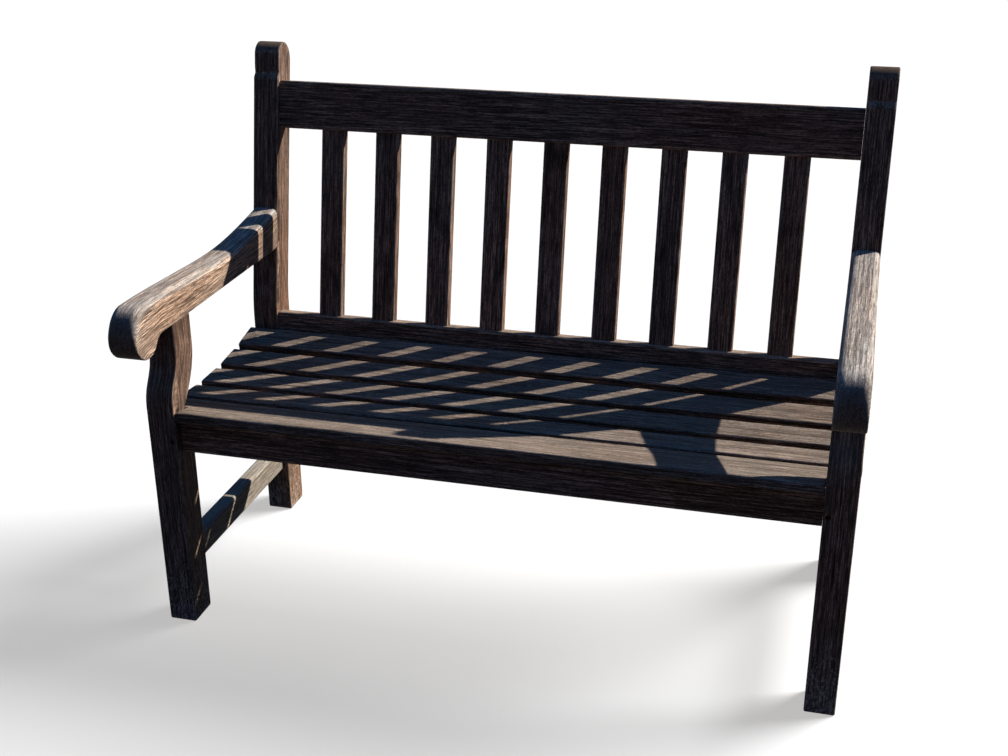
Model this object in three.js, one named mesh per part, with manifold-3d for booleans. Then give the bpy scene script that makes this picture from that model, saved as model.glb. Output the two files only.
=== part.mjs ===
// Two-seat slatted garden bench in weathered hardwood.
// Millimetres, +Z up. X runs along the bench and Y from its front to its back.
// The origin is on the ground under the front faces of the front legs until the
// whole bench is centred over it at the end.
// Pegged mortise and tenon joints hold the frame: the rails, stretchers, arms and
// front legs have tenons, which sit in mortises with a small gap all round.

import * as THREE from 'three';
import { mergeVertices } from 'three/addons/utils/BufferGeometryUtils.js';
import Module from 'manifold-3d';

const wasm = await Module();
wasm.setup();

// Overall
const BENCH_LENGTH = 1200;
const SEAT_HEIGHT = 421;
const ARM_ABOVE_SEAT = 150;

// Legs and back posts
const LEG_WIDTH = 51;
const LEG_DEPTH = 64;
const CLEAR_BETWEEN_LEGS = 388;
const LEG_WAIST = 46;
const LEG_EDGE = 3;
const FOOT_EDGE = 5;
const SWEEP = 30;
const SWEEP_ABOVE_SEAT = 4;
const SWEEP_RISE = 95;
const WAIST_CURVE_RISE = 102;
const WAIST_BULGE = 20;
const WAIST_BULGE_RISE = 22;
const WAIST_TOP_HANDLE = 45;
const POST_BEND_ABOVE_SEAT = 34;
const POST_BEND_SOFTNESS = 30;
const POST_RAKE_DEGREES = 11;
const POST_TAPER = 4;
const POST_LENGTH = 514;
const FINIAL_HEIGHT = 68;
const FINIAL_NOTCH_DEPTH = 6;
const FINIAL_NOTCH_HEIGHT = 9;
const FINIAL_BULGE_SETBACK = 3;
const FINIAL_FRONT_CROWN = 25;
const FINIAL_BACK_CROWN = 36;

// Arms
const ARM_NOSE_THICKNESS = 64;
const ARM_SADDLE_THICKNESS = 53.5;
const ARM_POST_THICKNESS = 77.5;
const ARM_SADDLE_Y = 270;
const ARM_REACH = 97;
const ARM_SCROLL_DROP = 29.5;
const ARM_CURL_RADIUS = 37;
const ARM_CURL_START_DEGREES = 235;
const ARM_THROAT_RADIUS = 26;
const ARM_TOP_EDGE = 12;
const ARM_UNDER_EDGE = 3;
const ARM_EDGE_BLEND = 0.6;

// Dished seat
const SLAT_THICKNESS = 18;
const SLAT_GAP = 22;
const SLAT_COUNT = 4;
const SLAT_EDGE = 4;
const SLAT_END_EDGE = 2;
const FRONT_SLAT_WIDTH = 114;
const FRONT_SLAT_GAP = 16;
const FRONT_SLAT_SETBACK = 1;
const SLAT_OVERHANG = 3;
const LAST_SLAT_CLEARANCE = 7;
const DISH_RADIUS = 898;
const DISH_LOWEST_Y = 235;
const NOTCH_CLEARANCE = 1;

// Seat frame
const RAIL_EDGE = 3;
const FRONT_RAIL_SETBACK = 20;
const FRONT_RAIL_THICKNESS = 30;
const FRONT_RAIL_HEIGHT = 60;
const REAR_RAIL_SETBACK = 18;
const REAR_RAIL_THICKNESS = 30;
const REAR_RAIL_HEIGHT = 46;
const REAR_RAIL_CLEARANCE = 12;
const SIDE_RAIL_THICKNESS = 30;
const SIDE_RAIL_LEAST_HEIGHT = 47;
const BEARER_THICKNESS = 36;
const BEARER_LEAST_HEIGHT = 30;

// Side stretchers
const STRETCHER_THICKNESS = 30;
const STRETCHER_HEIGHT = 50;
const STRETCHER_BOTTOM = 95;
const STRETCHER_EDGE = 6;

// Back: the top rail hangs below the notch of the posts, and the lower rail below their bend
const TOP_RAIL_DROP = 4;
const TOP_RAIL_HEIGHT = 90;
const TOP_RAIL_THICKNESS = 32;
const TOP_RAIL_SETBACK = 8;
const LOWER_RAIL_DROP = 9;
const LOWER_RAIL_HEIGHT = 42;
const LOWER_RAIL_THICKNESS = 32;
const LOWER_RAIL_SETBACK = 8;
const BACK_SLAT_COUNT = 9;
const BACK_SLAT_WIDTH = 46;
const BACK_SLAT_THICKNESS = 22;
const BACK_SLAT_END_SPACE = 86;
const BACK_SLAT_SETBACK = 13;
const BACK_SLAT_HOUSING = 14;

// Joints
const JOINT_GAP = 0.3;
const TENON_THICKNESS = 12;
const TENON_ROOT = 5;
const TENON_WALL = 3;
const TENON_SHOULDER = 8;
const TENON_SETBACK = 5;
const RAIL_TENON_LENGTH = 36;
const STRETCHER_TENON_LENGTH = 30;
const BEARER_TENON_LENGTH = 14;
const LEG_TENON_HEIGHT = 28;
const LEG_TENON_THICKNESS = 16;
const LEG_TENON_SHOULDER = 12;
const ARM_TENON_LENGTH = 26;
const ARM_TENON_HEIGHT = 40;
const PEG_DIAMETER = 9;
const PEG_INSET = 8;
const PEG_END = 6;

// Screws that hold the arms from behind the posts, under wooden plugs
const PLUG_DIAMETER = 12;
const PLUG_LENGTH = 9;
const SCREW_HEAD_DIAMETER = 9;
const SCREW_HEAD_LENGTH = 4;
const SCREW_SHANK_DIAMETER = 5;
const SCREW_SHANK_LENGTH = 72;

// How far a cutter runs past the surface that it opens
const OVERRUN = 40;

// How finely curves are cut into facets, and how near two points count as one
const CURVE_STEPS = 8;
const DISH_STEPS = 14;
const EDGE_STEPS = 2;
const ROUND_OVER_STEPS = 4;
const PEG_SIDES = 16;
const SAME_POINT = 0.01;

// Where the handles of the arm's long curves lie along them
const ARM_HANDLE_SHARE = 1 / 3;

// Colours of the pieces
const FRAME_COLOUR = 0x4a3d35;
const SEAT_COLOUR = 0x7d7064;
const PEG_COLOUR = 0x2e2622;
const STEEL_COLOUR = 0x8d8f90;
const WOOD_ROUGHNESS = 0.85;
const STEEL_ROUGHNESS = 0.45;

// Places worked out from the sizes above
const QUARTER_TURN = Math.PI / 2;
const halfLength = BENCH_LENGTH / 2;
const innerFaceX = halfLength - LEG_WIDTH;
const legCentreX = halfLength - LEG_WIDTH / 2;
const shoulderX = innerFaceX - JOINT_GAP;
const rearLegY = LEG_DEPTH + CLEAR_BETWEEN_LEGS;
const rearLegBackY = rearLegY + LEG_DEPTH;
const armHeight = SEAT_HEIGHT + ARM_ABOVE_SEAT;
const bendHeight = SEAT_HEIGHT + POST_BEND_ABOVE_SEAT;
const postDepth = LEG_DEPTH - POST_TAPER;
const notchStart = POST_LENGTH - FINIAL_HEIGHT;
const rake = THREE.MathUtils.degToRad(POST_RAKE_DEGREES);
const acrossEnd = [-LEG_WIDTH, LEG_WIDTH];
const SIDES = [['left', -1], ['right', 1]];

// The raked back has its own frame: Y through the posts and Z up them from the bend
const backFrame = new THREE.Matrix4()
  .makeTranslation(0, rearLegY, bendHeight)
  .multiply(new THREE.Matrix4().makeRotationX(-rake));
const toBackFrame = backFrame.clone().invert();

function backPoint(y, z) {
  const point = new THREE.Vector3(0, y, z).applyMatrix4(backFrame);
  return new THREE.Vector2(point.y, point.z);
}

function postFrontY(height) {
  return rearLegY + (height - bendHeight) * Math.tan(rake);
}

// Spans: a low and a high limit on one axis
function centred(middle, width) {
  return [middle - width / 2, middle + width / 2];
}

function middleOf([low, high]) {
  return (low + high) / 2;
}

function grown([low, high], gap = JOINT_GAP) {
  return [low - gap, high + gap];
}

function shrunk([low, high], amount) {
  return [low + amount, high - amount];
}

// A span measured from the inner face of a leg towards its outer face.
// The middle of the leg is at X = 0, and its outer face is on the given side.
function intoLeg(side, from, to) {
  const inner = -side * LEG_WIDTH / 2;
  return [inner + side * from, inner + side * to].sort((a, b) => a - b);
}

// Solids: joined and cut as closed bodies
function solid(geometry) {
  const plain = geometry.clone();
  plain.deleteAttribute('normal');
  plain.deleteAttribute('uv');
  const merged = mergeVertices(plain);
  return new wasm.Manifold(new wasm.Mesh({
    numProp: 3,
    vertProperties: new Float32Array(merged.attributes.position.array),
    triVerts: new Uint32Array(merged.index.array),
  }));
}

function worked(base, { trim = [], add = [], cut = [] }) {
  let body = solid(base);
  for (const geometry of trim) {
    body = body.subtract(solid(geometry));
  }
  for (const geometry of add) {
    body = body.add(solid(geometry));
  }
  for (const geometry of cut) {
    body = body.subtract(solid(geometry));
  }
  const mesh = body.getMesh();
  const geometry = new THREE.BufferGeometry();
  geometry.setAttribute('position', new THREE.BufferAttribute(mesh.vertProperties, 3));
  geometry.setIndex(new THREE.BufferAttribute(mesh.triVerts, 1));
  geometry.computeVertexNormals();
  return geometry;
}

function block(x, y, z) {
  const sizes = [x, y, z].map(([low, high]) => high - low);
  const middles = [x, y, z].map(middleOf);
  return new THREE.BoxGeometry(...sizes).translate(...middles);
}

function pinAlongX([start, end], y, z, diameter) {
  return new THREE.CylinderGeometry(diameter / 2, diameter / 2, end - start, PEG_SIDES)
    .rotateZ(QUARTER_TURN)
    .translate((start + end) / 2, y, z);
}

function pinAlongY(x, [start, end], z, diameter) {
  return new THREE.CylinderGeometry(diameter / 2, diameter / 2, end - start, PEG_SIDES)
    .translate(x, (start + end) / 2, z);
}

function holeFor(diameter) {
  return diameter + 2 * JOINT_GAP;
}

// Outlines
function roundedRectangle([left, right], [low, high], radius) {
  const outline = new THREE.Shape();
  outline.absarc(right - radius, low + radius, radius, -QUARTER_TURN, 0);
  outline.absarc(right - radius, high - radius, radius, 0, QUARTER_TURN);
  outline.absarc(left + radius, high - radius, radius, QUARTER_TURN, 2 * QUARTER_TURN);
  outline.absarc(left + radius, low + radius, radius, 2 * QUARTER_TURN, 3 * QUARTER_TURN);
  outline.closePath();
  return outline;
}

// A side profile in Y and Z is carried across the bench along X
function acrossBench(geometry) {
  return geometry.applyMatrix4(new THREE.Matrix4().makeBasis(
    new THREE.Vector3(0, 1, 0),
    new THREE.Vector3(0, 0, 1),
    new THREE.Vector3(1, 0, 0),
  ));
}

function profileBoard(outline, width, edge, curveSteps = CURVE_STEPS) {
  const depth = width - 2 * edge;
  const geometry = new THREE.ExtrudeGeometry(outline, {
    depth,
    curveSegments: curveSteps,
    bevelThickness: edge,
    bevelSize: edge,
    bevelOffset: -edge,
    bevelSegments: EDGE_STEPS,
  });
  return acrossBench(geometry.translate(0, 0, -depth / 2));
}

function bar(section, length) {
  const geometry = new THREE.ExtrudeGeometry(section, {
    depth: length,
    curveSegments: EDGE_STEPS,
    bevelEnabled: false,
  });
  return geometry.translate(0, 0, -length / 2);
}

// A board whose edges are rounded over by a radius that changes along its outline.
// The outline runs anticlockwise in Y and Z, and the width is along X.
function roundedOverBoard(outline, width, radiusAt) {
  const count = outline.length;
  const corners = outline.map((point, index) => {
    const before = outline[(index + count - 1) % count];
    const after = outline[(index + 1) % count];
    const along = after.clone().sub(before).normalize();
    const outward = new THREE.Vector2(along.y, -along.x);
    return { point, outward, radius: radiusAt(outward) };
  });
  const steps = Array.from({ length: ROUND_OVER_STEPS + 1 }, (_, step) => step);
  const angles = steps.map((step) => step / ROUND_OVER_STEPS * QUARTER_TURN);
  const rings = [
    ...angles.toReversed().map((angle) => [-1, angle]),
    ...angles.map((angle) => [1, angle]),
  ];
  const positions = rings.flatMap(([side, angle]) => corners.flatMap(({ point, outward, radius }) => {
    const inset = radius * (1 - Math.cos(angle));
    const x = side * (width / 2 - radius + radius * Math.sin(angle));
    return [x, point.x - outward.x * inset, point.y - outward.y * inset];
  }));
  const faces = [];
  for (let ring = 0; ring < rings.length - 1; ring += 1) {
    for (let index = 0; index < count; index += 1) {
      const next = (index + 1) % count;
      const [a, b] = [ring * count + index, ring * count + next];
      faces.push(a, b, b + count, a, b + count, a + count);
    }
  }
  const last = (rings.length - 1) * count;
  for (const [a, b, c] of THREE.ShapeUtils.triangulateShape(outline, [])) {
    faces.push(c, b, a, last + a, last + b, last + c);
  }
  const geometry = new THREE.BufferGeometry();
  geometry.setAttribute('position', new THREE.Float32BufferAttribute(positions, 3));
  geometry.setIndex(faces);
  return geometry;
}

// Dish of the seat: the arc that the undersides of the slats rest on.
// A place along it is an angle from its lowest line.
function dishAngle(y) {
  return Math.asin((y - DISH_LOWEST_Y) / DISH_RADIUS);
}

function dishTurn(distance) {
  return 2 * Math.asin(distance / 2 / DISH_RADIUS);
}

function dishRise(y) {
  return DISH_RADIUS * (1 - Math.cos(dishAngle(y)));
}

const dishLowest = SEAT_HEIGHT - SLAT_THICKNESS - dishRise(0);

function dishHeight(y) {
  return dishLowest + dishRise(y);
}

function dishLine(from, to) {
  return Array.from({ length: DISH_STEPS + 1 }, (_, step) => {
    const y = THREE.MathUtils.lerp(from, to, step / DISH_STEPS);
    return new THREE.Vector2(y, dishHeight(y) - JOINT_GAP);
  });
}

// Seat slats: a wide front one, then equal ones that fill the room up to the posts
function seatSlat(start, width) {
  const turn = dishTurn(width);
  const tilt = start + turn / 2;
  const reach = DISH_RADIUS * Math.cos(turn / 2);
  const y = DISH_LOWEST_Y + reach * Math.sin(tilt);
  const z = dishLowest + DISH_RADIUS - reach * Math.cos(tilt);
  return { width, tilt, end: start + turn, position: [0, y, z] };
}

const lastSlatEndY = rearLegY - LAST_SLAT_CLEARANCE;
const frontSlat = seatSlat(dishAngle(FRONT_SLAT_SETBACK), FRONT_SLAT_WIDTH);
const slatsStart = frontSlat.end + dishTurn(FRONT_SLAT_GAP);
const gapsTurn = (SLAT_COUNT - 1) * dishTurn(SLAT_GAP);
const slatTurn = (dishAngle(lastSlatEndY) - slatsStart - gapsTurn) / SLAT_COUNT;
const slatWidth = 2 * DISH_RADIUS * Math.sin(slatTurn / 2);
const otherSlats = Array.from({ length: SLAT_COUNT }, (_, index) => (
  seatSlat(slatsStart + index * (slatTurn + dishTurn(SLAT_GAP)), slatWidth)
));

function underFrontSlat(y) {
  const [, middleY, middleZ] = frontSlat.position;
  return middleZ + (y - middleY) * Math.tan(frontSlat.tilt) - JOINT_GAP;
}

// Rails of the seat
const frontRail = {
  y: [FRONT_RAIL_SETBACK, FRONT_RAIL_SETBACK + FRONT_RAIL_THICKNESS],
  bottom: underFrontSlat(FRONT_RAIL_SETBACK) - FRONT_RAIL_HEIGHT,
};
frontRail.tenonY = [frontRail.y[0] + TENON_SETBACK, frontRail.y[0] + TENON_SETBACK + TENON_THICKNESS];
frontRail.tenonZ = shrunk([frontRail.bottom, underFrontSlat(frontRail.y[1])], TENON_SHOULDER);

const lowerRail = {
  y: [LOWER_RAIL_SETBACK, LOWER_RAIL_SETBACK + LOWER_RAIL_THICKNESS],
  z: [-LOWER_RAIL_DROP - LOWER_RAIL_HEIGHT, -LOWER_RAIL_DROP],
};
const topRail = {
  y: [TOP_RAIL_SETBACK, TOP_RAIL_SETBACK + TOP_RAIL_THICKNESS],
  z: [notchStart - TOP_RAIL_DROP - TOP_RAIL_HEIGHT, notchStart - TOP_RAIL_DROP],
};
for (const rail of [lowerRail, topRail]) {
  rail.tenonY = centred(middleOf(rail.y), TENON_THICKNESS);
  rail.tenonZ = shrunk(rail.z, TENON_SHOULDER);
}

const rearRailTop = backPoint(lowerRail.y[1], lowerRail.z[0]).y - REAR_RAIL_CLEARANCE;
const rearRail = {
  y: [rearLegY + REAR_RAIL_SETBACK, rearLegY + REAR_RAIL_SETBACK + REAR_RAIL_THICKNESS],
  z: [rearRailTop - REAR_RAIL_HEIGHT, rearRailTop],
};
rearRail.tenonY = [rearRail.y[1] - TENON_SETBACK - TENON_THICKNESS, rearRail.y[1] - TENON_SETBACK];
rearRail.tenonZ = shrunk(rearRail.z, TENON_SHOULDER);

const sideRail = {
  y: [LEG_DEPTH + JOINT_GAP, rearLegY - JOINT_GAP],
  bottom: dishLowest - SIDE_RAIL_LEAST_HEIGHT,
  tenonY: [frontRail.tenonY[1] + TENON_WALL, rearRail.tenonY[0] - TENON_WALL],
};
sideRail.tenonZ = [sideRail.bottom + TENON_SHOULDER, dishHeight(LEG_DEPTH) - 2 * TENON_SHOULDER];

const stretcher = {
  y: sideRail.y,
  z: [STRETCHER_BOTTOM, STRETCHER_BOTTOM + STRETCHER_HEIGHT],
  tenonY: [LEG_DEPTH - STRETCHER_TENON_LENGTH, rearLegY + STRETCHER_TENON_LENGTH],
};
stretcher.tenonZ = shrunk(stretcher.z, TENON_SHOULDER);

const bearer = {
  y: [frontRail.y[1] + JOINT_GAP, rearRail.y[0] - JOINT_GAP],
  bottom: dishLowest - BEARER_LEAST_HEIGHT,
};
bearer.tenonZ = [bearer.bottom + TENON_SHOULDER, rearRail.tenonZ[1]];

const thinTenonX = centred(0, TENON_THICKNESS);

// Joints of the arms
const legTop = {
  x: centred(0, LEG_TENON_THICKNESS),
  y: shrunk([SWEEP, SWEEP + LEG_DEPTH], LEG_TENON_SHOULDER),
};
const armJoint = {
  x: centred(0, LEG_TENON_THICKNESS),
  height: (armHeight - bendHeight + ARM_POST_THICKNESS / 2) / Math.cos(rake),
};
armJoint.z = centred(armJoint.height, ARM_TENON_HEIGHT);
const counterboreY = postDepth - PLUG_LENGTH - JOINT_GAP - SCREW_HEAD_LENGTH;
const screwTipY = counterboreY - SCREW_SHANK_LENGTH;

// Pegs: from a face of the leg, through the tenon, to a blind end
const pegX = innerFaceX + PEG_INSET;
const endPegs = [['side_rail', sideRail], ['stretcher', stretcher]].flatMap(([name, { tenonY, tenonZ }]) => [
  { name: `${name}_front_peg`, y: middleOf([tenonY[0], LEG_DEPTH]), z: middleOf(tenonZ) },
  { name: `${name}_rear_peg`, y: middleOf([rearLegY, tenonY[1]]), z: middleOf(tenonZ) },
]);
const endPegDepths = [LEG_WIDTH / 2 - TENON_THICKNESS / 2 - PEG_END, LEG_WIDTH];
const frontPegY = [0, frontRail.tenonY[1] + PEG_END];
const rearPegY = [rearRail.tenonY[0] - PEG_END, rearLegBackY];

function endPegHoles(side, pegs) {
  const [start, end] = endPegDepths;
  const span = intoLeg(side, start - JOINT_GAP, end + OVERRUN);
  return pegs.map(({ y, z }) => pinAlongX(span, y, z, holeFor(PEG_DIAMETER)));
}

function tenonPegHoles(pegs) {
  return pegs.map(({ y, z }) => pinAlongX(grown(thinTenonX, OVERRUN), y, z, holeFor(PEG_DIAMETER)));
}

// Front leg: straight to the seat, where a shoulder behind it carries the front slat,
// then swept back in an S to the arm
function frontLegOutline() {
  const start = SEAT_HEIGHT + SWEEP_ABOVE_SEAT;
  const end = start + SWEEP_RISE;
  const half = start + SWEEP_RISE / 2;
  const waistEnd = end - WAIST_CURVE_RISE;
  const top = armHeight + LEG_EDGE;
  const outline = new THREE.Shape();
  outline.moveTo(FOOT_EDGE, 0);
  outline.lineTo(LEG_DEPTH - FOOT_EDGE, 0);
  outline.quadraticCurveTo(LEG_DEPTH, 0, LEG_DEPTH, FOOT_EDGE);
  outline.lineTo(LEG_DEPTH, underFrontSlat(LEG_DEPTH));
  outline.lineTo(LEG_WAIST, underFrontSlat(LEG_WAIST));
  outline.lineTo(LEG_WAIST, waistEnd);
  outline.bezierCurveTo(
    LEG_WAIST + WAIST_BULGE, waistEnd + WAIST_BULGE_RISE,
    LEG_DEPTH + SWEEP, end - WAIST_TOP_HANDLE,
    LEG_DEPTH + SWEEP, end,
  );
  outline.lineTo(LEG_DEPTH + SWEEP, top);
  outline.lineTo(SWEEP, top);
  outline.lineTo(SWEEP, end);
  outline.bezierCurveTo(SWEEP, half, 0, half, 0, start);
  outline.lineTo(0, FOOT_EDGE);
  outline.quadraticCurveTo(0, 0, FOOT_EDGE, 0);
  return outline;
}

function frontLeg(side) {
  const aboveArm = [armHeight - JOINT_GAP, armHeight + OVERRUN];
  const fromBack = LEG_DEPTH + OVERRUN;
  const railMortise = intoLeg(side, -OVERRUN, RAIL_TENON_LENGTH + JOINT_GAP);
  const railPegX = -side * (LEG_WIDTH / 2 - PEG_INSET);
  const railPegZ = middleOf(frontRail.tenonZ);
  return worked(profileBoard(frontLegOutline(), LEG_WIDTH, LEG_EDGE), {
    trim: [block(acrossEnd, grown([0, LEG_DEPTH + SWEEP], OVERRUN), aboveArm)],
    add: [block(legTop.x, legTop.y, [armHeight - TENON_ROOT, armHeight + LEG_TENON_HEIGHT])],
    cut: [
      block(railMortise, grown(frontRail.tenonY), grown(frontRail.tenonZ)),
      block(grown(thinTenonX), [sideRail.tenonY[0] - JOINT_GAP, fromBack], grown(sideRail.tenonZ)),
      block(grown(thinTenonX), [stretcher.tenonY[0] - JOINT_GAP, fromBack], grown(stretcher.tenonZ)),
      pinAlongY(railPegX, [-OVERRUN, frontPegY[1] + JOINT_GAP], railPegZ, holeFor(PEG_DIAMETER)),
      ...endPegHoles(side, [endPegs[0], endPegs[2]]),
    ],
  });
}

// Rear leg: upright to the seat, then raked as the back post, with a notched and crowned top
function rearLegOutline() {
  const footFront = rearLegY + FOOT_EDGE;
  const footBack = rearLegBackY - FOOT_EDGE;
  const backBend = (LEG_DEPTH - postDepth * Math.cos(rake)) / Math.sin(rake);
  const bendBack = backPoint(postDepth, backBend);
  const softBack = backPoint(postDepth, backBend + POST_BEND_SOFTNESS);
  const raked = new THREE.Path();
  raked.moveTo(postDepth, POST_LENGTH - FINIAL_BACK_CROWN);
  raked.absellipse(
    postDepth / 2, POST_LENGTH - FINIAL_BACK_CROWN, postDepth / 2, FINIAL_BACK_CROWN, 0, QUARTER_TURN,
  );
  raked.absellipse(
    postDepth / 2, POST_LENGTH - FINIAL_FRONT_CROWN,
    postDepth / 2 - FINIAL_BULGE_SETBACK, FINIAL_FRONT_CROWN, QUARTER_TURN, 2 * QUARTER_TURN,
  );
  raked.quadraticCurveTo(
    FINIAL_BULGE_SETBACK, notchStart + 2 * FINIAL_NOTCH_HEIGHT,
    FINIAL_NOTCH_DEPTH, notchStart + FINIAL_NOTCH_HEIGHT,
  );
  raked.lineTo(0, notchStart);
  const crown = raked.getPoints(CURVE_STEPS).map(({ x, y }) => backPoint(x, y));
  const softFront = backPoint(0, POST_BEND_SOFTNESS);
  const outline = new THREE.Shape();
  outline.moveTo(footFront, 0);
  outline.lineTo(footBack, 0);
  outline.quadraticCurveTo(rearLegBackY, 0, rearLegBackY, FOOT_EDGE);
  outline.lineTo(rearLegBackY, bendBack.y - POST_BEND_SOFTNESS);
  outline.quadraticCurveTo(bendBack.x, bendBack.y, softBack.x, softBack.y);
  for (const point of crown) {
    outline.lineTo(point.x, point.y);
  }
  outline.lineTo(softFront.x, softFront.y);
  outline.quadraticCurveTo(rearLegY, bendHeight, rearLegY, bendHeight - POST_BEND_SOFTNESS);
  outline.lineTo(rearLegY, FOOT_EDGE);
  outline.quadraticCurveTo(rearLegY, 0, footFront, 0);
  return outline;
}

function rearLeg(side) {
  const railMortise = intoLeg(side, -OVERRUN, RAIL_TENON_LENGTH + JOINT_GAP);
  const fromFront = rearLegY - OVERRUN;
  const railPegX = -side * (LEG_WIDTH / 2 - PEG_INSET);
  const railPegY = [rearPegY[0] - JOINT_GAP, rearLegBackY + OVERRUN];
  const inBack = [
    block(railMortise, grown(lowerRail.tenonY), grown(lowerRail.tenonZ)),
    block(railMortise, grown(topRail.tenonY), grown(topRail.tenonZ)),
    block(grown(armJoint.x), [-OVERRUN, ARM_TENON_LENGTH + JOINT_GAP], grown(armJoint.z)),
    pinAlongY(0, [counterboreY - JOINT_GAP, postDepth + OVERRUN], armJoint.height, holeFor(PLUG_DIAMETER)),
    pinAlongY(0, [0, postDepth], armJoint.height, holeFor(SCREW_SHANK_DIAMETER)),
    ...[lowerRail, topRail].map((rail) => pinAlongY(
      railPegX,
      [rail.tenonY[0] - PEG_END - JOINT_GAP, postDepth + OVERRUN],
      middleOf(rail.tenonZ),
      holeFor(PEG_DIAMETER),
    )),
  ].map((cutter) => cutter.applyMatrix4(backFrame));
  return worked(profileBoard(rearLegOutline(), LEG_WIDTH, LEG_EDGE), {
    cut: [
      ...inBack,
      block(railMortise, grown(rearRail.tenonY), grown(rearRail.tenonZ)),
      block(grown(thinTenonX), [fromFront, sideRail.tenonY[1] + JOINT_GAP], grown(sideRail.tenonZ)),
      block(grown(thinTenonX), [fromFront, stretcher.tenonY[1] + JOINT_GAP], grown(stretcher.tenonZ)),
      pinAlongY(railPegX, railPegY, middleOf(rearRail.tenonZ), holeFor(PEG_DIAMETER)),
      ...endPegHoles(side, [endPegs[1], endPegs[3]]),
    ],
  });
}

// Arm: a flat underside, a dipped top and a scroll that hangs in front of the leg
function armOutline() {
  const noseRadius = (ARM_NOSE_THICKNESS + ARM_SCROLL_DROP) / 2;
  const nose = new THREE.Vector2(noseRadius - ARM_REACH, armHeight - ARM_SCROLL_DROP + noseRadius);
  const curlStart = THREE.MathUtils.degToRad(ARM_CURL_START_DEGREES);
  const towardsCurl = new THREE.Vector2(Math.cos(curlStart), Math.sin(curlStart));
  const curl = nose.clone().addScaledVector(towardsCurl, noseRadius - ARM_CURL_RADIUS);
  const throatZ = armHeight - ARM_THROAT_RADIUS;
  const throatReach = ARM_CURL_RADIUS + ARM_THROAT_RADIUS;
  const throatY = curl.x + Math.sqrt(throatReach ** 2 - (curl.y - throatZ) ** 2);
  const curlEnd = Math.atan2(throatZ - curl.y, throatY - curl.x);
  const top = armHeight + ARM_POST_THICKNESS;
  const endY = postFrontY(top);
  const saddleZ = armHeight + ARM_SADDLE_THICKNESS;
  const noseZ = armHeight + ARM_NOSE_THICKNESS;
  const outline = new THREE.Path();
  outline.moveTo(throatY, armHeight);
  outline.lineTo(endY + OVERRUN, armHeight);
  outline.lineTo(endY + OVERRUN, top);
  outline.lineTo(endY, top);
  outline.bezierCurveTo(
    THREE.MathUtils.lerp(endY, ARM_SADDLE_Y, ARM_HANDLE_SHARE), middleOf([top, saddleZ]),
    THREE.MathUtils.lerp(ARM_SADDLE_Y, endY, ARM_HANDLE_SHARE), saddleZ,
    ARM_SADDLE_Y, saddleZ,
  );
  outline.bezierCurveTo(
    THREE.MathUtils.lerp(ARM_SADDLE_Y, nose.x, ARM_HANDLE_SHARE), saddleZ,
    THREE.MathUtils.lerp(nose.x, ARM_SADDLE_Y, ARM_HANDLE_SHARE), noseZ,
    nose.x, noseZ,
  );
  outline.absarc(nose.x, nose.y, noseRadius, QUARTER_TURN, curlStart);
  outline.absarc(curl.x, curl.y, ARM_CURL_RADIUS, curlStart, 2 * Math.PI + curlEnd);
  outline.absarc(throatY, throatZ, ARM_THROAT_RADIUS, Math.PI + curlEnd, QUARTER_TURN, true);
  const points = outline.getPoints(CURVE_STEPS);
  return points.filter((point, index) => point.distanceTo(points[(index + 1) % points.length]) > SAME_POINT);
}

// The round-over is full on the top and dies out down the front of the nose
function armEdge(outward) {
  const share = THREE.MathUtils.smoothstep(outward.y, -ARM_EDGE_BLEND, ARM_EDGE_BLEND);
  return THREE.MathUtils.lerp(ARM_UNDER_EDGE, ARM_TOP_EDGE, share);
}

function arm() {
  const beyond = 2 * POST_LENGTH;
  const legMortiseZ = [armHeight - OVERRUN, armHeight + LEG_TENON_HEIGHT + JOINT_GAP];
  const screwHoleY = [screwTipY - JOINT_GAP, postDepth];
  const inBack = (geometry) => geometry.applyMatrix4(backFrame);
  return worked(roundedOverBoard(armOutline(), LEG_WIDTH, armEdge), {
    trim: [inBack(block(acrossEnd, [-JOINT_GAP, beyond], [-beyond, beyond]))],
    add: [inBack(block(armJoint.x, [-TENON_ROOT, ARM_TENON_LENGTH], armJoint.z))],
    cut: [
      block(grown(legTop.x), grown(legTop.y), legMortiseZ),
      inBack(pinAlongY(0, screwHoleY, armJoint.height, holeFor(SCREW_SHANK_DIAMETER))),
    ],
  });
}

// Rails between the left and right legs
function endTenons(tenonY, tenonZ) {
  return [
    block([shoulderX - TENON_ROOT, innerFaceX + RAIL_TENON_LENGTH], tenonY, tenonZ),
    block([-innerFaceX - RAIL_TENON_LENGTH, TENON_ROOT - shoulderX], tenonY, tenonZ),
  ];
}

function endTenonPegHoles(tenonY, tenonZ) {
  const through = grown(tenonY, TENON_WALL);
  return [-pegX, pegX].map((x) => pinAlongY(x, through, middleOf(tenonZ), holeFor(PEG_DIAMETER)));
}

function bearerMortise(y) {
  return block(grown(thinTenonX), y, grown(bearer.tenonZ));
}

function frontRailBoard() {
  const [near, far] = frontRail.y;
  const outline = new THREE.Shape();
  outline.moveTo(near + RAIL_EDGE, frontRail.bottom);
  outline.lineTo(far - RAIL_EDGE, frontRail.bottom);
  outline.quadraticCurveTo(far, frontRail.bottom, far, frontRail.bottom + RAIL_EDGE);
  outline.lineTo(far, underFrontSlat(far));
  outline.lineTo(near, underFrontSlat(near));
  outline.lineTo(near, frontRail.bottom + RAIL_EDGE);
  outline.quadraticCurveTo(near, frontRail.bottom, near + RAIL_EDGE, frontRail.bottom);
  return worked(acrossBench(bar(outline, 2 * shoulderX)), {
    add: endTenons(frontRail.tenonY, frontRail.tenonZ),
    cut: [
      bearerMortise([far - BEARER_TENON_LENGTH - JOINT_GAP, far + OVERRUN]),
      ...endTenonPegHoles(frontRail.tenonY, frontRail.tenonZ),
    ],
  });
}

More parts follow.
